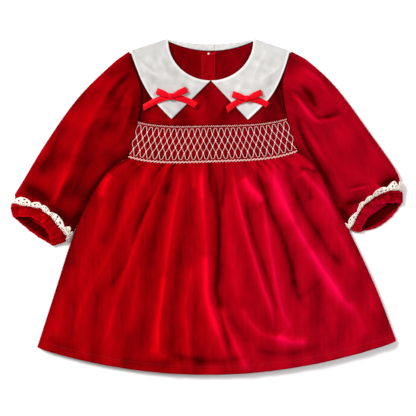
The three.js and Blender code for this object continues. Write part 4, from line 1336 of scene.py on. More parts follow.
@dataclass
class Bodice:
    """The front yoke, the two halves of the back, the placket and the finish of the back neck."""

    creases: tuple[Crease, ...] = (
        Crease(((-92, 212), (-60, 205), (-30, 208)), 0.7, 5),
        Crease(((20, 240), (10, 222), (0, 206)), 0.8, 5),
        Crease(((-18, 244), (-14, 226), (-20, 208)), 0.7, 5),
        Crease(((86, 236), (92, 220), (90, 206)), 0.9, 5),
        Crease(((-96, 246), (-98, 228), (-92, 212)), 0.8, 4),
    )
    placket_left: float = -17.5
    placket_right: float = 2.2
    placket_top: float = 301.0
    placket_length: float = 120.0
    placket_rows: int = 60
    placket_columns: int = 24
    binding_rise: float = 8.2
    binding_roll: float = 1.6
    loop_radius: float = 3.4
    loop_x: float = -2.2
    loop_y: float = 301.2
    shank_radius: float = 1.3
    shank_high: float = 0.8
    shank_x: float = -7.6
    shank_y: float = 299.2
    loop_thread: float = 0.42
    seam_thread: float = 0.22
    placket_stitch: Place = (2.6, 1.9)
    armhole_stitch: Place = (3.0, 2.2)
    seam_top: float = 250.0
    yoke_corner: float = 0.3
    yoke_rows: int = 40
    yoke_columns: int = 181
    back_rows: int = 50
    back_columns: int = 40
    binding_rows: int = 14
    binding_columns: int = 60
    yoke_cut: Cut = Cut(0.24, 0.13, area=0.0195)
    back_cut: Cut = Cut(0.13, 0.18, area=0.0195)
    binding_cut: Cut = Cut(0.055, 0.01)
    placket_cut: Cut = Cut(0.024, 0.125)

    def yoke_outer(self, share: Array) -> Array:
        """The front yoke's outer edge, down one armhole, along the smocking and up the other."""
        corner = self.yoke_corner
        depth = LINES.armhole_top - LINES.armhole_foot(Side.LEFT)
        foot = (LINES.armhole_top - LINES.panel_left_y) / depth
        left = LINES.armhole_point(Side.LEFT, np.clip(foot * share / corner, 0, foot), 0.0)
        right = LINES.armhole_point(Side.RIGHT, np.clip(foot * (1 - share) / corner, 0, foot), 0.0)
        low = LINES.panel_top_point(np.clip((share - corner) / (1 - 2 * corner), 0, 1), SEAM)
        past = share[:, None]
        return np.where(past < corner, left, np.where(past > 1 - corner, right, low))

    def yoke(self) -> Cloth:
        """The front yoke, a U round the neckline."""
        share = np.linspace(0, 1, self.yoke_columns)
        left = LINES.front_neck(Side.LEFT, np.abs(1 - 2 * share), 1.0)
        right = LINES.front_neck(Side.RIGHT, np.abs(1 - 2 * share), 1.0)
        neck = np.where((share < 0.5)[:, None], left, right)
        out = np.linspace(0, 1, self.yoke_rows)[:, None, None]
        middle = mix(neck[None], self.yoke_outer(share)[None], out)
        x, y = middle[..., 0], middle[..., 1]
        y[:] = np.minimum(y, LINES.shoulder_y(x) - GAP)
        low = smooth(LINES.shoulder_y(x) - y, 10, 60)
        relief = Relief.of(x, y, self.creases)
        middle[..., 2] = LINES.front_lift(x, y) + np.minimum(relief.rise, 1.0) * low
        # Painted highlight and shade along the creases and painted shade near the armholes, over a darker
        # overall tone and uneven tone below
        tone = 2 * relief.tone - 0.27 - 0.16 * (1 - smooth(LINES.from_armholes(x, y), 0, 26))
        tone = tone + 0.06 * ripple(x, y, 38, 19)
        return Cloth("yoke_front_velvet", middle, VELVET, upright=True, tone=tone)

    def back(self, side: Side) -> Cloth:
        """One half of the bodice's back."""
        centre = LINES.centre_back + side.out * SEAM / 2
        share = np.linspace(0, 1, self.back_columns)
        down = np.linspace(0, 1, self.back_rows)[:, None]
        top_x = mix(float(LINES.armhole(side).at(0)) - side.out * SEAM, centre, share)
        past_neck = np.abs(top_x - LINES.neck_x) > LINES.neck_half_width
        neck_y = LINES.back_neck_y(top_x, LINES.back_drop - 1.5)
        top_y = np.where(past_neck, LINES.shoulder_y(top_x), neck_y)
        waist_x = side.pick(LINES.waist_left, LINES.waist_right)[0]
        run = LINES.waist_right[0] - LINES.waist_left[0]
        foot = LINES.waist_point((mix(waist_x, centre, share) - LINES.waist_left[0]) / run, SEAM)
        edge = LINES.armhole_point(side, down[:, 0], -SEAM)
        x = mix(edge[:, :1], centre, share[None])
        y = mix((top_y - GAP)[None], foot[:, 1][None], down)
        middle = side.facing(np.stack([x, y, LINES.back_lift(y)], axis=2))
        name = f"back_{side.value}_velvet"
        under = 0.12 * ripple(x, 0.5 * y, 34, 59)
        # The outer side, seen inside the neck, is painted darker as shade under the collar; the inner side
        # has only uneven tone
        return Cloth(name, middle, VELVET, upright=True, tone=-0.31, tone_under=under)

    def placket(self) -> Cloth:
        """The strip of velvet inside the back opening, with a turned edge along its left."""
        across = np.linspace(self.placket_left, self.placket_right, self.placket_columns)
        down = np.linspace(self.placket_top, self.placket_top - self.placket_length, self.placket_rows)
        x, y = np.meshgrid(across, down)
        share = (x - self.placket_left) / (self.placket_right - self.placket_left)
        z = LINES.back_z + VELVET / 2 + GAP + PLACKET_CLOTH / 2 + 0.12 + 0.12 * ripple(x, y, 14, 8)
        lift = 0.25 * (1 - smooth(share, 0.1, 0.14)) + 0.15 * smooth(share, 0.9, 0.93)
        return Cloth("placket_velvet", np.stack([x, y, z], axis=2), PLACKET_CLOTH, lift=lift, tone=-0.2)

    def binding(self, side: Side) -> Cloth:
        """The white strip along one half of the back neck, rolled over its edge."""
        z = LINES.back_z + VELVET / 2 + GAP + COLLAR_CLOTH / 2
        start = LINES.neck_x + side.out * (LINES.neck_half_width - 2)
        centre = LINES.centre_back + side.out * SEAM * 0.7
        x = mix(start, centre, np.linspace(0, 1, self.binding_columns))
        stops = (0.0, 0.25, 0.5, 1.0)
        down = np.linspace(0, 1, self.binding_rows)[:, None]
        up = Track(stops, (1.0, 0.88, 0.6, 0.0)).at(down)
        fall = Track(stops, (-1.6, -0.5, 0.0, 0.0)).at(down)
        top = LINES.back_neck_y(x, self.binding_rise - self.binding_roll) + self.binding_roll
        y = mix(LINES.back_neck_y(x, LINES.back_drop)[None], top[None], up)
        uneven = 0.12 * ripple(x[None], y, 9, 11) * (1 - up)
        middle = side.facing(np.stack([np.broadcast_to(x, y.shape), y, z + fall + uneven], axis=2))
        tone = -0.08 + 0.06 * ripple(x[None], y, 8, 12)
        return Cloth(f"neck_binding_{side.value}_satin", middle, COLLAR_CLOTH, tone=tone)

    def loop(self) -> list[Array]:
        """Two turns of thread that make the button loop."""
        z = LINES.back_z + VELVET / 2 + 2 * GAP + PLACKET_CLOTH + 0.6
        turns = []
        for radius, rise in ((self.loop_radius, 0.0), (self.loop_radius - 0.7, 0.15)):
            turn = np.linspace(0, math.pi, 22)
            x = self.loop_x - radius * np.cos(turn)
            y = self.loop_y - radius * np.sin(turn)
            turns.append(np.stack([x, y, np.full(22, z + rise)], axis=1))
        return turns

    def button_shank(self, material: Material) -> Piece:
        """The tight little knot of white thread that holds the button on the other side of the placket."""
        bpy.ops.object.select_all(action="DESELECT")
        z = LINES.back_z + VELVET / 2 + GAP + PLACKET_CLOTH + 0.9
        place = (self.shank_x * MM, self.shank_y * MM, z * MM)
        bpy.ops.mesh.primitive_cylinder_add(
            vertices=20, radius=self.shank_radius * MM, depth=self.shank_high * MM, location=place
        )
        bpy.ops.object.mode_set(mode="EDIT")
        bpy.ops.mesh.select_all(action="SELECT")
        bpy.ops.mesh.bevel(offset=0.25 * MM, segments=2)
        bpy.ops.object.mode_set(mode="OBJECT")
        return soften(bpy.context.object, "button_thread", material)

    def stitches(self, placket: Cloth) -> list[Array]:
        """The stitches down the placket and below each armhole."""
        sewn = []
        for share in (0.025, 0.12, 0.95):
            row = np.linspace(1, self.placket_rows - 2, 60)
            column = np.full_like(row, share * (self.placket_columns - 1))
            sewn += dashes(placket.on(row, column, 0.02), *self.placket_stitch)
        for side in Side:
            seam = LINES.armhole_point(side, np.linspace(0.05, 0.62, 80), -4.5)
            seam[:, 2] = LINES.front_lift(seam[:, 0], seam[:, 1]) + VELVET / 2 + 0.1
            sewn += dashes(seam[seam[:, 1] < self.seam_top], *self.armhole_stitch)
        return sewn

    def make(self, maker: Maker, finishes: Finishes) -> None:
        backs = ["back_left", "back_right"]
        piece = self.yoke().build(finishes.velvet)
        maker.place(piece, "velvet", ["yoke_front"], self.yoke_cut, backs)
        for side, name in zip(Side, backs):
            piece = self.back(side).build(finishes.velvet)
            maker.place(piece, "velvet", [name], self.back_cut)
            strip = self.binding(side).build(finishes.collar)
            maker.place(strip, "collar_cloth", [f"neck_binding_{side.value}"], self.binding_cut, [name])
        placket = self.placket()
        maker.place(placket.build(finishes.velvet), "velvet", ["placket"], self.placket_cut, backs)
        loop = threads("button_loop_thread", self.loop(), self.loop_thread, finishes.ribbon, sides=8)
        maker.place(loop, "ribbon", ["button_loop"])
        maker.place(self.button_shank(finishes.white_thread), "collar_cloth")
        lines = self.stitches(placket)
        sewn = threads("bodice_stitches", lines, self.seam_thread, finishes.red_thread, sides=4)
        maker.place(sewn, "velvet")


# Collar


@dataclass
class Collar:
    """One half of the collar, from its point on the front over the shoulder to the centre back."""

    side: Side
    columns: int = 64
    split: float = 0.9
    back_drop: float = 8.2
    front_stops: tuple[float, ...] = (0.0, 0.2, 0.4, 0.6, 0.8, 1.0)
    back_stops: tuple[float, ...] = (0.0, 0.35, 0.7, 0.9, 1.0)
    fold_steps: int = 14
    front_rows: int = 60
    back_rows: int = 35
    width: float = 60.0
    cut: Cut = Cut(0.14, 0.19, "folded", 0.0125)

    def outer(self, front: bool, at: Array) -> Array:
        """Points of the outer edge at shares along it, over the front or under the back."""
        pick = self.side.pick
        if front:
            stops = self.front_stops
            x = pick((-59.5, -77, -90, -101, -109.3, -116.2), (47.6, 63.5, 78, 89, 98.5, 105.6))
            y = pick((207.4, 225.5, 241.5, 261, 281.5, 300.6), (206.4, 221.5, 237, 255, 277.5, 300.6))
        else:
            stops = self.back_stops
            x = pick((-116.2, -98, -54, -24, -10), (105.6, 89, 46, 18, 5))
            y = (300.6, 272.0, 256.0, 262.0, 282.0)
        return level_points(Track(stops, x).at(at), Track(stops, y).at(at))

    def creases(self) -> tuple[Crease, ...]:
        """The faint wrinkles of the half that is seen."""
        left = (
            Crease(((-108, 292), (-92, 276), (-70, 262)), 0.7, 5),
            Crease(((-100, 270), (-84, 258), (-66, 254)), -0.5, 5),
            Crease(((-84, 304), (-72, 282), (-64, 262)), 0.6, 6),
            Crease(((-80, 248), (-66, 238), (-50, 236)), 0.5, 5),
            Crease(((-50, 258), (-44, 244), (-46, 228)), 0.6, 5),
        )
        right = (
            Crease(((98, 290), (84, 274), (64, 262)), 0.7, 5),
            Crease(((90, 266), (76, 254), (58, 250)), -0.5, 5),
            Crease(((74, 304), (62, 284), (54, 262)), 0.6, 6),
            Crease(((70, 244), (54, 236), (40, 236)), 0.5, 5),
            Crease(((38, 258), (32, 244), (34, 228)), 0.6, 5),
        )
        return self.side.pick(left, right)

    def front(self, across: Array) -> tuple[Array, Array]:
        """The half's front, from the centre to the shoulder fold, and the highlight and shade painted along
        its wrinkles.
        """
        at = np.linspace(0, 1, self.front_rows)
        neck = LINES.front_neck(self.side, at)
        neck[:, 0] += self.side.out * self.split * (1 - smooth(at, 0, 0.02))
        front = mix(neck[:, None], self.outer(True, at)[:, None], across)
        x, y = front[..., 0], front[..., 1]
        height = LINES.front_lift(x, np.minimum(y, LINES.shoulder_y(x))) + LINES.collar_lift
        settle = 1 - smooth(at, 0.75, 1.0)[:, None]
        creased = Relief.of(x, y, self.creases())
        front[..., 2] = height + settle * (0.35 + creased.rise + 0.12 * ripple(x, y, 16, 21))
        return front, settle * (3.2 * creased.tone + 0.05 * ripple(x, y, 15, 23))

    def fold(self, shoulder: Array) -> Array:
        """The half turn over the shoulder, from the front's last row down to the back's height."""
        line = shoulder[-1] - shoulder[0]
        line[2] = 0
        line /= np.linalg.norm(line)
        away = np.array([-line[1], line[0], 0.0])
        away = away if away[1] > 0 else -away
        turn = np.radians(np.linspace(90, -90, self.fold_steps + 1)[1:])[:, None, None]
        radius = ((shoulder[:, 2] - LINES.collar_back_z) / 2)[None, :, None]
        fold = shoulder[None] + away * radius * np.cos(turn)
        fold[..., 2] = LINES.collar_back_z + radius[..., 0] * (1 + np.sin(turn[..., 0]))
        return fold

    def back(self, across: Array) -> Array:
        """The half's back, from the shoulder fold to the centre back."""
        at = np.linspace(0, 1, self.back_rows + 1)[1:]
        centre = LINES.centre_back + self.side.out * self.split
        neck_x = mix(float(LINES.front_neck(self.side, 1.0)[0]), centre, at)
        neck = level_points(neck_x, LINES.back_neck_y(neck_x, self.back_drop))
        back = mix(neck[:, None], self.outer(False, at)[:, None], across)
        back[..., 2] = LINES.collar_back_z
        return back

    def cloth(self) -> Cloth:
        """The half as one grid: front, shoulder fold and back."""
        across = np.linspace(0, 1, self.columns)[None, :, None]
        front, shades = self.front(across)
        middle = np.concatenate([front, self.fold(front[-1]), self.back(across)], axis=0)
        from_edge = (1 - across[0, :, 0]) * self.width
        ridge = 0.22 * np.exp(-((from_edge / 1.6) ** 2)) - 0.12 * np.exp(-(((from_edge - 3.2) / 1.2) ** 2))
        lift = np.zeros(middle.shape[:2])
        lift[: self.front_rows] = ridge
        # Painted light: the left half painted darker than the right as shade from the light's side, a
        # painted highlight along both rims, and the wrinkles' painted shading on the front
        from_rim = np.minimum(from_edge, (self.width - from_edge) * 0.8)
        tone = self.side.pick(-0.18, -0.1) + 0.22 * (1 - smooth(from_rim, 1.6, 3.4))
        tone = np.tile(tone, (len(middle), 1))
        tone[: self.front_rows] += shades
        name = f"collar_{self.side.value}_satin"
        middle, lift, tone = (self.side.facing(grid) for grid in (middle, lift, tone))
        return Cloth(name, middle, COLLAR_CLOTH, lift=lift, tone=tone)

    def make(self, maker: Maker, finishes: Finishes, bow: Sequence[Piece]) -> None:
        piece = self.cloth().build(finishes.collar)
        maker.place(piece, "collar_cloth", [f"collar_{self.side.value}"], self.cut, ["yoke_front"], bow)


# Sleeves


@dataclass(frozen=True)
class TubeEnd:
    """Sections across a laid tube of cloth, a row each, between the two edges at which it folds.

    Attributes:
        outer: each row's point on the outer fold.
        inner: its point on the inner fold.
        crown: the height of the middle of its top.
        sole: the height of its underside.
        lean: how far its top is drawn back from the mouth.
        reach: how far its underside reaches towards the mouth.
        fullness: how slowly its top rises from the edges, a power.
        mouth: the direction towards the tube's mouth.
        edge_z: the height of its folded edges.
        edge_roll: how far in from them its underside is flat.
    """

    outer: Array
    inner: Array
    crown: Array
    sole: Array
    lean: Array
    reach: Array
    fullness: Array
    mouth: Array
    edge_z: float = 3.0
    edge_roll: float = 4.0

    def points(self, share: Array, over: Array) -> Array:
        """Points round the section.

        Args:
            share: shares from the outer edge to the inner one, a column each.
            over: which columns are on its top.

        Returns:
            A point for each row and column.
        """
        width = np.linalg.norm(self.outer - self.inner, axis=1)[:, None]
        swing = np.sin(math.pi * share)
        points = mix(self.outer[:, None], self.inner[:, None], share[:, None])
        edge = (self.sole + self.edge_z - LINES.floor_z)[:, None]
        top_z = edge + (self.crown[:, None] - edge) * np.maximum(swing, 1e-6) ** self.fullness[:, None]
        from_edge = np.minimum(np.minimum(share, 1 - share) * width / self.edge_roll, 1)
        low_z = edge - (edge - self.sole[:, None]) * np.sqrt(1 - (1 - from_edge) ** 2)
        push = np.where(over, -self.lean[:, None], self.reach[:, None]) * swing
        points = points + push[..., None] * self.mouth
        points[..., 2] = np.where(over, top_z, low_z)
        return points


def tube_columns(top: int, sole: int) -> tuple[Array, Array]:
    """Columns round a laid tube, across its top and back underneath, closer together at its edges.

    Args:
        top: how many columns cross the top.
        sole: how many cross underneath.

    Returns:
        Each column's share from the outer edge to the inner one, and which columns are on the top.
    """

    def spread(count: int) -> Array:
        """The shares of one run of columns from an edge to the other, both edges included."""
        k = np.linspace(0, 1, count + 1)
        return mix(k, (1 - np.cos(math.pi * k)) / 2, 0.75)

    share = np.concatenate([spread(top)[:-1], 1 - spread(sole)[:-1]])
    over = np.concatenate([np.ones(top, dtype=bool), np.zeros(sole, dtype=bool)])
    return share, over


@dataclass
class Sleeve:
    """One sleeve with its elastic cuff and the lace above it."""

    side: Side
    rows: int = 110
    top_columns: int = 120
    sole_columns: int = 60
    stops: tuple[float, ...] = (0.0, 0.1, 0.35, 0.62, 0.85, 0.95, 1.0)
    crown: tuple[float, ...] = (7.4, 14.0, 18.0, 19.5, 21.0, 18.0, 14.5)
    lean: tuple[float, ...] = (0.0, 0.0, 0.0, 0.0, 6.0, 14.0, 19.0)
    lace_room: float = 1.6
    cuff_seam: float = 1.0
    cuff_rows: int = 26
    cuff_columns: tuple[int, int] = (190, 110)
    cuff_crown: float = 11.5
    cuff_lean: float = 18.0
    lace_rows: int = 20
    lace_columns: int = 640
    lace_free_z: float = 5.0
    lace_from: float = 0.93
    lace_to: float = 0.993
    scallops: int = 10
    scallop_long: float = 19.0
    lace_wide: float = 8.5
    eyes: tuple[tuple[float, float, float], ...] = (
        (0.0, 2.3, 1.15),
        (3.9, 4.4, 1.0),
        (0.0, 5.4, 0.7),
        (8.2, 6.2, 0.7),
    )
    sleeve_cut: Cut = Cut(0.33, 0.24, "gathered", 0.058)
    cuff_cut: Cut = Cut(0.2, 0.017, "gathered")
    lace_cut: Cut = Cut(0.25, 0.012, "gathered")

    def edges(self) -> tuple[Track, Track, Track, Track]:
        """The two edges of the laid sleeve: the outer one's X and Y, then the inner one's."""
        if self.side is Side.LEFT:
            columns = (
                (-119.5, -141, -190, -236, -272, -282.5, -284.5),
                (302, 286, 237.5, 173, 113, 95, 84),
                (-122, -137.5, -158.5, -175, -191.5, -200.5, -209),
                (154, 144.5, 120, 96, 62, 45.5, 36),
            )
        else:
            columns = (
                (109, 131, 172, 221, 254, 262.5, 264),
                (302, 289.5, 250.5, 184.5, 137, 115.5, 104),
                (118.2, 135.8, 151.2, 168.2, 179.8, 187.4, 193),
                (162, 149, 125.5, 91.5, 70, 58.5, 52),
            )
        return tuple(Track(self.stops, column) for column in columns)

    def creases(self) -> tuple[Crease, ...]:
        """The folds on top of the sleeve."""
        left = (
            Crease(((-140, 262), (-176, 196), (-196, 150), (-218, 96)), 3.2, 11),
            Crease(((-112, 246), (-122, 208), (-138, 172)), 4.0, 8),
            Crease(((-118, 278), (-142, 256), (-160, 226)), 2.6, 8),
            Crease(((-112, 274), (-130, 258), (-146, 240)), -2.8, 5),
            Crease(((-112, 262), (-126, 240), (-134, 216)), -2.4, 5),
            Crease(((-116, 232), (-124, 204), (-140, 168)), -2.4, 6),
            Crease(((-128, 240), (-144, 206), (-160, 176)), -1.6, 8),
            Crease(((-200, 214), (-220, 170), (-246, 124)), -3.0, 12),
            Crease(((-158, 172), (-180, 134), (-198, 92)), -2.8, 10),
            Crease(((-150, 146), (-168, 122), (-184, 92)), 1.8, 7),
            Crease(((-266, 116), (-244, 104), (-222, 90)), -6.2, 17),
            Crease(((-226, 90), (-210, 72), (-197, 54)), -6.4, 15),
            Crease(((-200, 134), (-213, 110), (-222, 86)), 4.2, 8),
            Crease(((-276, 106), (-268, 94), (-256, 86)), 2.6, 5),
            Crease(((-232, 78), (-226, 66), (-218, 56)), 2.4, 4),
        )
        right = (
            Crease(((106, 246), (118, 232), (138, 206), (152, 199)), 5.0, 7),
            Crease(((120, 258), (134, 240), (144, 216)), -5.6, 7),
            Crease(((118, 282), (146, 262), (162, 236)), 3.0, 8),
            Crease(((140, 204), (160, 204), (180, 210)), 3.2, 6),
            Crease(((150, 212), (164, 214), (178, 222)), -2.6, 6),
            Crease(((108, 232), (124, 182), (158, 122), (180, 90)), -4.6, 9),
            Crease(((120, 206), (136, 178), (160, 140)), 3.2, 8),
            Crease(((196, 206), (216, 172), (234, 140)), 1.4, 8),
            Crease(((108, 216), (122, 176), (146, 138)), 1.8, 5),
            Crease(((228, 112), (244, 120), (262, 126)), -6.4, 9),
            Crease(((186, 106), (202, 110), (218, 113)), 3.4, 5),
            Crease(((178, 88), (192, 92), (212, 98)), -4.4, 8),
            Crease(((176, 84), (184, 72), (190, 60)), -4.0, 9),
            Crease(((222, 116), (234, 108), (246, 106)), 3.6, 5),
        )
        return self.side.pick(left, right)

    def mouth(self) -> Array:
        """The direction from the sleeve towards the mouth of its cuff."""
        outer_x, outer_y, inner_x, inner_y = (track.values[-1] for track in self.edges())
        seam = np.array([inner_x - outer_x, inner_y - outer_y], dtype=float)
        seam /= np.linalg.norm(seam)
        out = np.array([seam[1], -seam[0], 0.0])
        return -out if out[1] > 0 else out

    def section(self, at: Array) -> TubeEnd:
        """The sleeve's sections at shares down it, before its folds."""
        outer_x, outer_y, inner_x, inner_y = (track.at(at) for track in self.edges())
        return TubeEnd(
            outer=level_points(outer_x, outer_y),
            inner=level_points(inner_x, inner_y),
            crown=Track(self.stops, self.crown).at(at),
            sole=LINES.floor_z + self.lace_room * smooth(at, 0.76, 0.89),
            lean=Track(self.stops, self.lean).at(at),
            reach=np.zeros_like(at),
            fullness=mix(0.38, 0.6, smooth(at, 0, 0.12)),
            mouth=self.mouth(),
        )

    def sleeve(self) -> tuple[Cloth, Array]:
        """The sleeve, and the share down it at which each of its rows lies."""
        pick = self.side.pick
        k = np.linspace(0, 1, self.rows)
        at = mix(k, (1 - np.cos(math.pi * k)) / 2, 0.6)
        down = at[:, None]
        share, over = tube_columns(self.top_columns, self.sole_columns)
        section = self.section(at)
        points = section.points(share, over)
        armhole = LINES.armhole(self.side)
        straight = mix(float(armhole.at(0)), float(armhole.at(1)), share)
        points[..., 0] += (armhole.at(share) - straight) * (1 - smooth(down, 0, 0.3))
        points[..., 0] += self.side.out * 0.1 * (1 - smooth(down, 0, 0.1))
        x, y = points[..., 0], points[..., 1]
        swing = np.sin(math.pi * share)
        waves = 0.5 - 0.5 * np.cos(TAU * 11 * share + 1.3 * np.sin(TAU * 3 * share))
        gathers = 1.8 * smooth(down, 0.86, 1.0) * waves
        gathers = gathers + 0.6 * smooth(down, 0.92, 1.0) * np.cos(TAU * 27 * share)
        gathers = gathers + 0.35 * (1 - smooth(down, 0, 0.2)) * ripple(9 * share, 0 * share, 1.1, 27)
        folds = Relief.of(x, y, self.creases())
        begun = smooth(down, 0.0, 0.08)
        uneven = 0.4 * ripple(x, y, 30, pick(31, 37))
        relief = np.sqrt(swing) * (folds.rise * begun + uneven) + swing * gathers
        hidden = np.maximum(0.5 * ripple(x, y, 34, 41), 0) * swing * smooth(down, 0.05, 0.2)
        points[..., 2] += np.where(over, relief, hidden * (1 - smooth(down, 0.7, 0.8)))
        # Painted highlight and shade of the folds, fainter on the left; painted shade in the gathers above
        # the cuff and along the armhole
        tone = pick(0.7, 1.0) * folds.tone * begun + 0.05 * ripple(x, y, 44, 43)
        tone = tone + 0.06 * (gathers - 0.8 * smooth(down, 0.8, 1.0)) - 0.06 * (1 - smooth(down, 0, 0.09))
        width = np.linalg.norm(section.outer - section.inner, axis=1)[:, None]
        near_skirt = 1 - smooth((1 - share) * width, 0, 16)
        # Painted shade where the sleeve meets the skirt, the left sleeve painted darker than the right as
        # the light falls, and the underside painted a little lighter on its bumps
        tone = tone - 0.12 * near_skirt - pick(0.22, 0.14)
        tone = self.side.facing(np.where(over, tone, 0.3 * hidden - 0.05))
        name = f"sleeve_{self.side.value}_velvet"
        points = self.side.facing(points)
        return Cloth(name, points, VELVET, closed=True, tone=tone, painted_light_from=pick(-2.2, -0.9)), at

    def cuff(self) -> Cloth:
        """The casing, crumpled by the elastic inside it."""
        pick = self.side.pick
        start = [track.values[-1] for track in self.edges()]
        end = pick((-282.0, 70.0, -227.5, 30.0), (264.5, 90.0, 206.0, 49.0))
        k = np.linspace(0, 1, self.cuff_rows)
        down = k[:, None]
        mouth = self.mouth()
        lines = [mix(a, b, k) for a, b in zip(start, end)]
        seam = self.cuff_seam * (1 - down) * mouth
        section = TubeEnd(
            outer=level_points(lines[0], lines[1]) + seam,
            inner=level_points(lines[2], lines[3]) + seam,
            crown=mix(self.crown[-1], self.cuff_crown, k),
            sole=mix(LINES.floor_z + self.lace_room, CASING / 2, k),
            lean=mix(self.lean[-1], self.cuff_lean, k),
            reach=pick(2.0, 9.0) * k,
            fullness=np.full_like(k, 0.6),
            mouth=mouth,
        )
        share, over = tube_columns(*self.cuff_columns)
        points = section.points(share, over)
        crumpled = self.puckers(share[None], down)
        edge = smooth(np.minimum(share, 1 - share), 0, 0.06)
        belly = 1.4 * np.sin(math.pi * down)
        shirr = -0.5 * np.exp(-(((down - 0.3) / 0.09) ** 2))
        under = np.maximum(0.8 * crumpled, 0)
        points[..., 2] += edge * np.where(over, 1.7 * crumpled + belly + shirr, under)
        wobble = edge * down**2 * ripple(11 * share, 0 * share, 1.6, pick(61, 67))
        points += (np.where(over, 1.3, 0.5) * wobble)[..., None] * mouth
        # Painted highlight along the mouth's rim and on the crumples, and painted shade inside the mouth,
        # darkest furthest in
        rim = 0.22 * smooth(down, 0.72, 0.98) + 0.2 * crumpled - 0.2
        inside = mix(-0.45, -0.12, smooth(down, 0.6, 0.9)) + 0.1 * crumpled
        tone = self.side.facing(np.where(over, rim, inside))
        points = self.side.facing(points)
        return Cloth(f"cuff_{self.side.value}_velvet", points, CASING, closed=True, tone=tone)

    def puckers(self, share: Array, down: Array) -> Array:
        """The uneven crumples that the elastic draws into the casing, between about -0.5 and 1."""
        rng = np.random.default_rng(self.side.pick(71, 73))
        total = np.zeros(np.broadcast(share, down).shape) - 0.45
        place = 0.0
        while place < 1.0:
            step = rng.uniform(0.025, 0.075)
            place += step
            slant = rng.uniform(-0.03, 0.03)
            reach = rng.uniform(0.25, 1.1)
            middle = rng.uniform(0.1, 0.9)
            strong = rng.uniform(0.5, 1.2)
            off = (share - place - slant * (down - 0.5)) / (0.42 * step)
            total = total + strong * np.exp(-(off**2) - ((down - middle) / reach) ** 2)
        return total

    def lace(self, sleeve: Cloth, at: Array) -> Cloth:
        """The scalloped lace, gathered round the sleeve just above its cuff."""
        share = np.linspace(0, 1, self.lace_columns, endpoint=False)
        down = np.linspace(0, 1, self.lace_rows)
        sway = 0.014 * (0.5 + 0.5 * np.sin(TAU * 4 * share + 1.3 * np.sin(TAU * 3 * share + 1)))
        run = mix(self.lace_from, self.lace_to, down)[:, None] - sway[None]
        place = np.interp(run, at, np.arange(len(at)))
        around = np.broadcast_to(share * sleeve.middle.shape[1], place.shape)
        middle = sleeve.on(place, around, 0.3 + LACE / 2)
        wave = 0.5 + 0.5 * np.sin(TAU * 33 * share + 2 * np.sin(TAU * 5 * share))
        above = middle[..., 2] > self.lace_free_z
        middle[..., 2] += np.where(above, 0.9 * wave * (1 - down)[:, None], 0)
        keep = self.lace_pattern(share, down)
        lift = self.cords(share, down)
        return Cloth(f"lace_{self.side.value}_cotton", middle, LACE, closed=True, keep=keep, lift=lift)

    def lace_pattern(self, share: Array, down: Array) -> Array:
        """Which faces of the lace are thread: scallops with round eyes, and a ladder at the footing.

        Args:
            share: shares round the sleeve.
            down: shares across the lace from its scalloped edge to its footing.

        Returns:
            A mask of the lace's faces.
        """
        phase = self.phase(share + 0.5 / len(share))
        v = ((down[1:] + down[:-1]) / 2)[:, None]
        keep = v > self.scallop(phase)[None]
        keep &= v < 1 - 0.12 * (0.5 + 0.5 * np.cos(TAU * phase))[None]
        dx = (phase - 0.5)[None] * self.scallop_long
        dy = v * self.lace_wide
        for x, y, radius in self.eyes:
            keep &= np.hypot(np.abs(dx) - x, dy - y) > radius
        ladder = (v > 0.84) & (v < 0.93) & (np.abs(np.sin(math.pi * phase * 9)) > 0.6)[None]
        keep &= ~ladder
        for _ in range(3):  # Fills places where two faces would meet only at a corner
            a, b = keep[:-1], keep[1:]
            right_a, right_b = np.roll(a, -1, axis=1), np.roll(b, -1, axis=1)
            falling = a & right_b & ~right_a & ~b
            rising = ~a & ~right_b & right_a & b
            keep[1:] |= falling
            keep[:-1] |= rising
        return keep

    def phase(self, share: Array) -> Array:
        """How far along its scallop each place is, the gathers drawing some scallops closer together."""
        return (share * self.scallops + 0.28 * np.sin(TAU * 3 * share + 0.6)) % 1.0

    def scallop(self, phase: Array) -> Array:
        """Where the lace's free edge lies, as a share across it, at shares along a scallop."""
        return 0.52 * (1 - np.abs(np.sin(math.pi * phase)) ** 0.75)

    def cords(self, share: Array, down: Array) -> Array:
        """The relief of the thicker threads round each eye and along the scalloped edge."""
        phase = self.phase(share)
        v = down[:, None]
        relief = np.exp(-(((v - self.scallop(phase)[None] - 0.08) / 0.07) ** 2))
        dx = np.abs(phase - 0.5)[None] * self.scallop_long
        for x, y, radius in self.eyes:
            off = np.hypot(dx - x, v * self.lace_wide - y) - radius - 0.4
            relief = np.maximum(relief, np.exp(-((off / 0.35) ** 2)))
        return 0.5 * relief

    def make(self, maker: Maker, finishes: Finishes) -> None:
        name = self.side.value
        sleeve, at = self.sleeve()
        piece = sleeve.build(finishes.velvet)
        maker.place(piece, "velvet", [f"sleeve_{name}"], self.sleeve_cut)
        piece = self.cuff().build(finishes.velvet)
        maker.place(piece, "velvet", [f"cuff_{name}"], self.cuff_cut)
        piece = self.lace(sleeve, at).build(finishes.lace)
        maker.place(piece, "lace", [f"lace_{name}"], self.lace_cut, [f"sleeve_{name}"])


# Bows


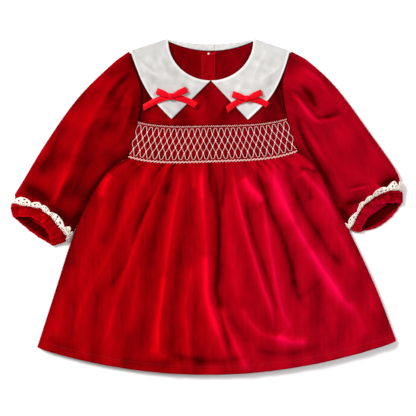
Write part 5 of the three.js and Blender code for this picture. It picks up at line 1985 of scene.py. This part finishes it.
@dataclass
class Bow:
    """A flat ribbon bow: two loops, two tails and the knot that holds them."""

    side: Side
    x: float
    y: float
    loops: tuple[Place, ...]
    tails: tuple[Place, ...]
    width: float = 8.4
    half_height: float = 1.7
    knot_long: float = 4.2
    knot_wide: float = 4.6
    knot_high: float = 2.3
    loop_rows: int = 15
    loop_columns: int = 60
    tail_rows: int = 13
    tail_columns: int = 50
    tail_slant: float = 2.2

    def collar_top(self, x: Values, y: Values) -> Values:
        """The height of the collar's outer side, with the air over it and half the ribbon."""
        return LINES.front_lift(x, y) + LINES.collar_lift + COLLAR_CLOTH / 2 + GAP + RIBBON / 2

    def laid(self, end: Place, out: Array, aside: Array) -> tuple[Array, Array]:
        """Places on the bow.

        Args:
            end: where the loop or tail ends, measured from the knot.
            out: distances out from the knot towards that end.
            aside: distances to the left of that line.

        Returns:
            The places along X and along Y.
        """
        along_x, along_y = np.array(end) / math.hypot(*end)
        return self.x + along_x * out - along_y * aside, self.y + along_y * out + along_x * aside

    def band(self, middle: Array, name: str, closed: bool) -> Cloth:
        """A length of ribbon with a fine ridge along each of its two edges."""
        across = np.abs(np.linspace(-1, 1, len(middle)))[:, None]
        lift = np.broadcast_to(0.12 * smooth(across, 0.82, 0.92), middle.shape[:2])
        name = f"bow_{self.side.value}_{name}"
        return Cloth(name, middle, RIBBON, closed=closed, lift=lift, rim=0.25)

    def loop(self, end: Place, number: int) -> Cloth:
        """A flattened loop from the knot to its end, fuller in its middle and pinched at the knot."""
        length = math.hypot(*end)
        turn = np.linspace(0, TAU, self.loop_columns, endpoint=False)
        across = np.linspace(0.5, -0.5, self.loop_rows)[:, None]
        out = length * (1 - np.cos(turn)) / 2
        bulge = np.sign(np.sin(turn)) * np.abs(np.sin(turn)) ** 0.6 * self.half_height
        pinch = mix(0.5, 1.0, smooth(out, 0, length * 0.55))
        crimp = 0.35 * np.cos(TAU * across * 2.5) * (1 - smooth(out, 0, length * 0.6))
        x, y = self.laid(end, out, across * self.width * pinch)
        z = self.collar_top(x, y) + 0.1 + self.half_height
        z = z + bulge * (1 + 0.18 * np.cos(TAU * across)) + np.where(bulge > 0, crimp + 0.3, 0)
        return self.band(np.stack([x, y, z], axis=2), f"loop_{number}", True)

    def tail(self, end: Place, number: int) -> Cloth:
        """A tail from the knot to its slanted end."""
        k = np.linspace(0, 1, self.tail_columns)
        across = np.linspace(0.5, -0.5, self.tail_rows)[:, None]
        out = math.hypot(*end) * k + self.tail_slant * across * k**6
        pinch = mix(0.5, 1.0, smooth(k, 0, 0.3))
        swell = np.sin(math.pi * k)
        x, y = self.laid(end, out, across * self.width * pinch)
        y = y + 2.5 * swell
        rise = 1.2 * (1 - smooth(k, 0, 0.5)) + 0.5 * swell + 0.9 * smooth(k, 0.7, 1.0)
        cup = 0.35 * np.cos(TAU * across) * smooth(k, 0.1, 0.5)
        z = self.collar_top(x, y) + 0.35 + rise + cup
        return self.band(np.stack([x, y, z], axis=2), f"tail_{number}", False)

    def knot(self, material: Material) -> Piece:
        """The short wrap of ribbon round the middle of the bow, with two soft folds across it."""
        bpy.ops.object.select_all(action="DESELECT")
        z = float(self.collar_top(self.x, self.y)) + self.half_height + 0.5
        bpy.ops.mesh.primitive_cube_add(size=1.0, location=(self.x * MM, self.y * MM, z * MM))
        piece = bpy.context.object
        piece.scale = (2 * self.knot_long * MM, 2 * self.knot_wide * MM, 2 * self.knot_high * MM)
        bpy.ops.object.transform_apply(location=False, rotation=False, scale=True)
        bpy.ops.object.mode_set(mode="EDIT")
        bpy.ops.mesh.select_all(action="SELECT")
        bpy.ops.mesh.subdivide(number_cuts=6, smoothness=0.0)
        bpy.ops.transform.tosphere(value=0.72)
        bpy.ops.object.mode_set(mode="OBJECT")
        for vertex in piece.data.vertices:
            x, y = vertex.co.x / MM, vertex.co.y / MM
            vertex.co.x *= 1 - 0.16 * math.cos(math.pi * y / self.knot_wide)
            vertex.co.z *= 1 + 0.1 * math.cos(TAU * (x + 0.25 * y) / 2.6)
        return soften(piece, f"bow_{self.side.value}_knot", material)

    def make(self, maker: Maker, finishes: Finishes) -> list[Piece]:
        pieces = [self.knot(finishes.ribbon)]
        maker.place(pieces[0], "ribbon", [f"bow_{self.side.value}"])
        ribbons = [self.loop(end, number) for number, end in enumerate(self.loops, 1)]
        ribbons += [self.tail(end, number) for number, end in enumerate(self.tails, 1)]
        for ribbon in ribbons:
            pieces.append(ribbon.build(finishes.ribbon))
            maker.place(pieces[-1], "ribbon")
        return pieces


# Floor, light and camera


@dataclass(frozen=True)
class Studio:
    """A pale floor, soft light and a camera straight above the dress.

    The picture's width, its centre and the cloth's height are in millimetres, and the rest is in metres.
    """

    picture: float = 582.4
    centre: Place = (-8.4, 82.6)
    lens: float = 85.0
    sensor: float = 36.0
    cloth_height: float = 9.0
    floor_size: float = 8.0
    floor_drop: float = 0.0002
    floor_colour: Colour = (0.9, 0.9, 0.9)
    world_strength: float = 0.42

    def floor(self) -> None:
        """Lays the plain pale floor."""
        material = bpy.data.materials.new("pale_floor")
        material.use_nodes = True
        shader = material.node_tree.nodes["Principled BSDF"]
        shader.inputs["Base Color"].default_value = (*self.floor_colour, 1.0)
        shader.inputs["Roughness"].default_value = 0.9
        bpy.ops.object.select_all(action="DESELECT")
        place = (0.0, 0.0, -self.floor_drop)
        bpy.ops.mesh.primitive_plane_add(size=self.floor_size, location=place)
        floor = bpy.context.object
        floor.name = "floor"
        floor.data.materials.append(material)

    def light(self, name: str, place: tuple[float, float, float], size: float, power: float) -> None:
        """Hangs a soft square light that points at the middle of the dress."""
        data = bpy.data.lights.new(name, "AREA")
        data.size = size
        data.energy = power
        lamp = bpy.data.objects.new(name, data)
        lamp.location = place
        target = np.array([self.centre[0] * MM, self.centre[1] * MM, 0.0])
        direction = target - np.array(place)
        lamp.rotation_euler = (
            math.atan2(math.hypot(direction[0], direction[1]), -direction[2]),
            0.0,
            math.atan2(direction[1], direction[0]) - math.pi / 2,
        )
        bpy.context.scene.collection.objects.link(lamp)

    def lights(self) -> None:
        """Hangs the lights and sets the soft light from all round."""
        self.light("key", (-2.6, 1.9, 2.5), 1.2, 190.0)
        self.light("fill", (2.2, 0.6, 2.4), 1.4, 40.0)
        world = bpy.data.worlds.new("soft_light")
        world.use_nodes = True
        back = world.node_tree.nodes["Background"]
        back.inputs["Color"].default_value = (1.0, 1.0, 1.0, 1.0)
        back.inputs["Strength"].default_value = self.world_strength
        bpy.context.scene.world = world

    def camera(self) -> None:
        """Hangs the camera so that the picture takes in as much as the photograph does."""
        data = bpy.data.cameras.new("camera")
        data.lens = self.lens
        data.sensor_width = self.sensor
        data.clip_end = 20.0
        camera = bpy.data.objects.new("camera", data)
        distance = self.lens * self.picture / self.sensor
        camera.location = (self.centre[0] * MM, self.centre[1] * MM, (distance + self.cloth_height) * MM)
        bpy.context.scene.collection.objects.link(camera)
        bpy.context.scene.camera = camera

    def make(self) -> None:
        """Sets the whole studio up."""
        self.camera()
        self.lights()
        self.floor()
        bpy.context.scene.view_settings.view_transform = "Standard"


def main() -> None:
    """Builds the studio and every part of the dress."""
    logging.basicConfig(level=logging.INFO, format="%(name)s %(message)s")
    Studio().make()
    finishes = Finishes()
    maker = Maker()
    Skirt().make(maker, finishes)
    Smocking().make(maker, finishes)
    Bodice().make(maker, finishes)
    bows = (
        Bow(Side.LEFT, -60.0, 238.0, ((-20.0, 8.0), (22.0, 10.0)), ((-39.0, -15.0), (35.0, -12.0))),
        Bow(Side.RIGHT, 46.0, 235.0, ((-20.0, 6.5), (20.5, 9.0)), ((-28.0, -15.0), (29.0, -8.5))),
    )
    for bow in bows:
        Collar(bow.side).make(maker, finishes, bow.make(maker, finishes))
        Sleeve(bow.side).make(maker, finishes)
    log.info("%d pieces", maker.count)


if __name__ == "__main__":
    main()
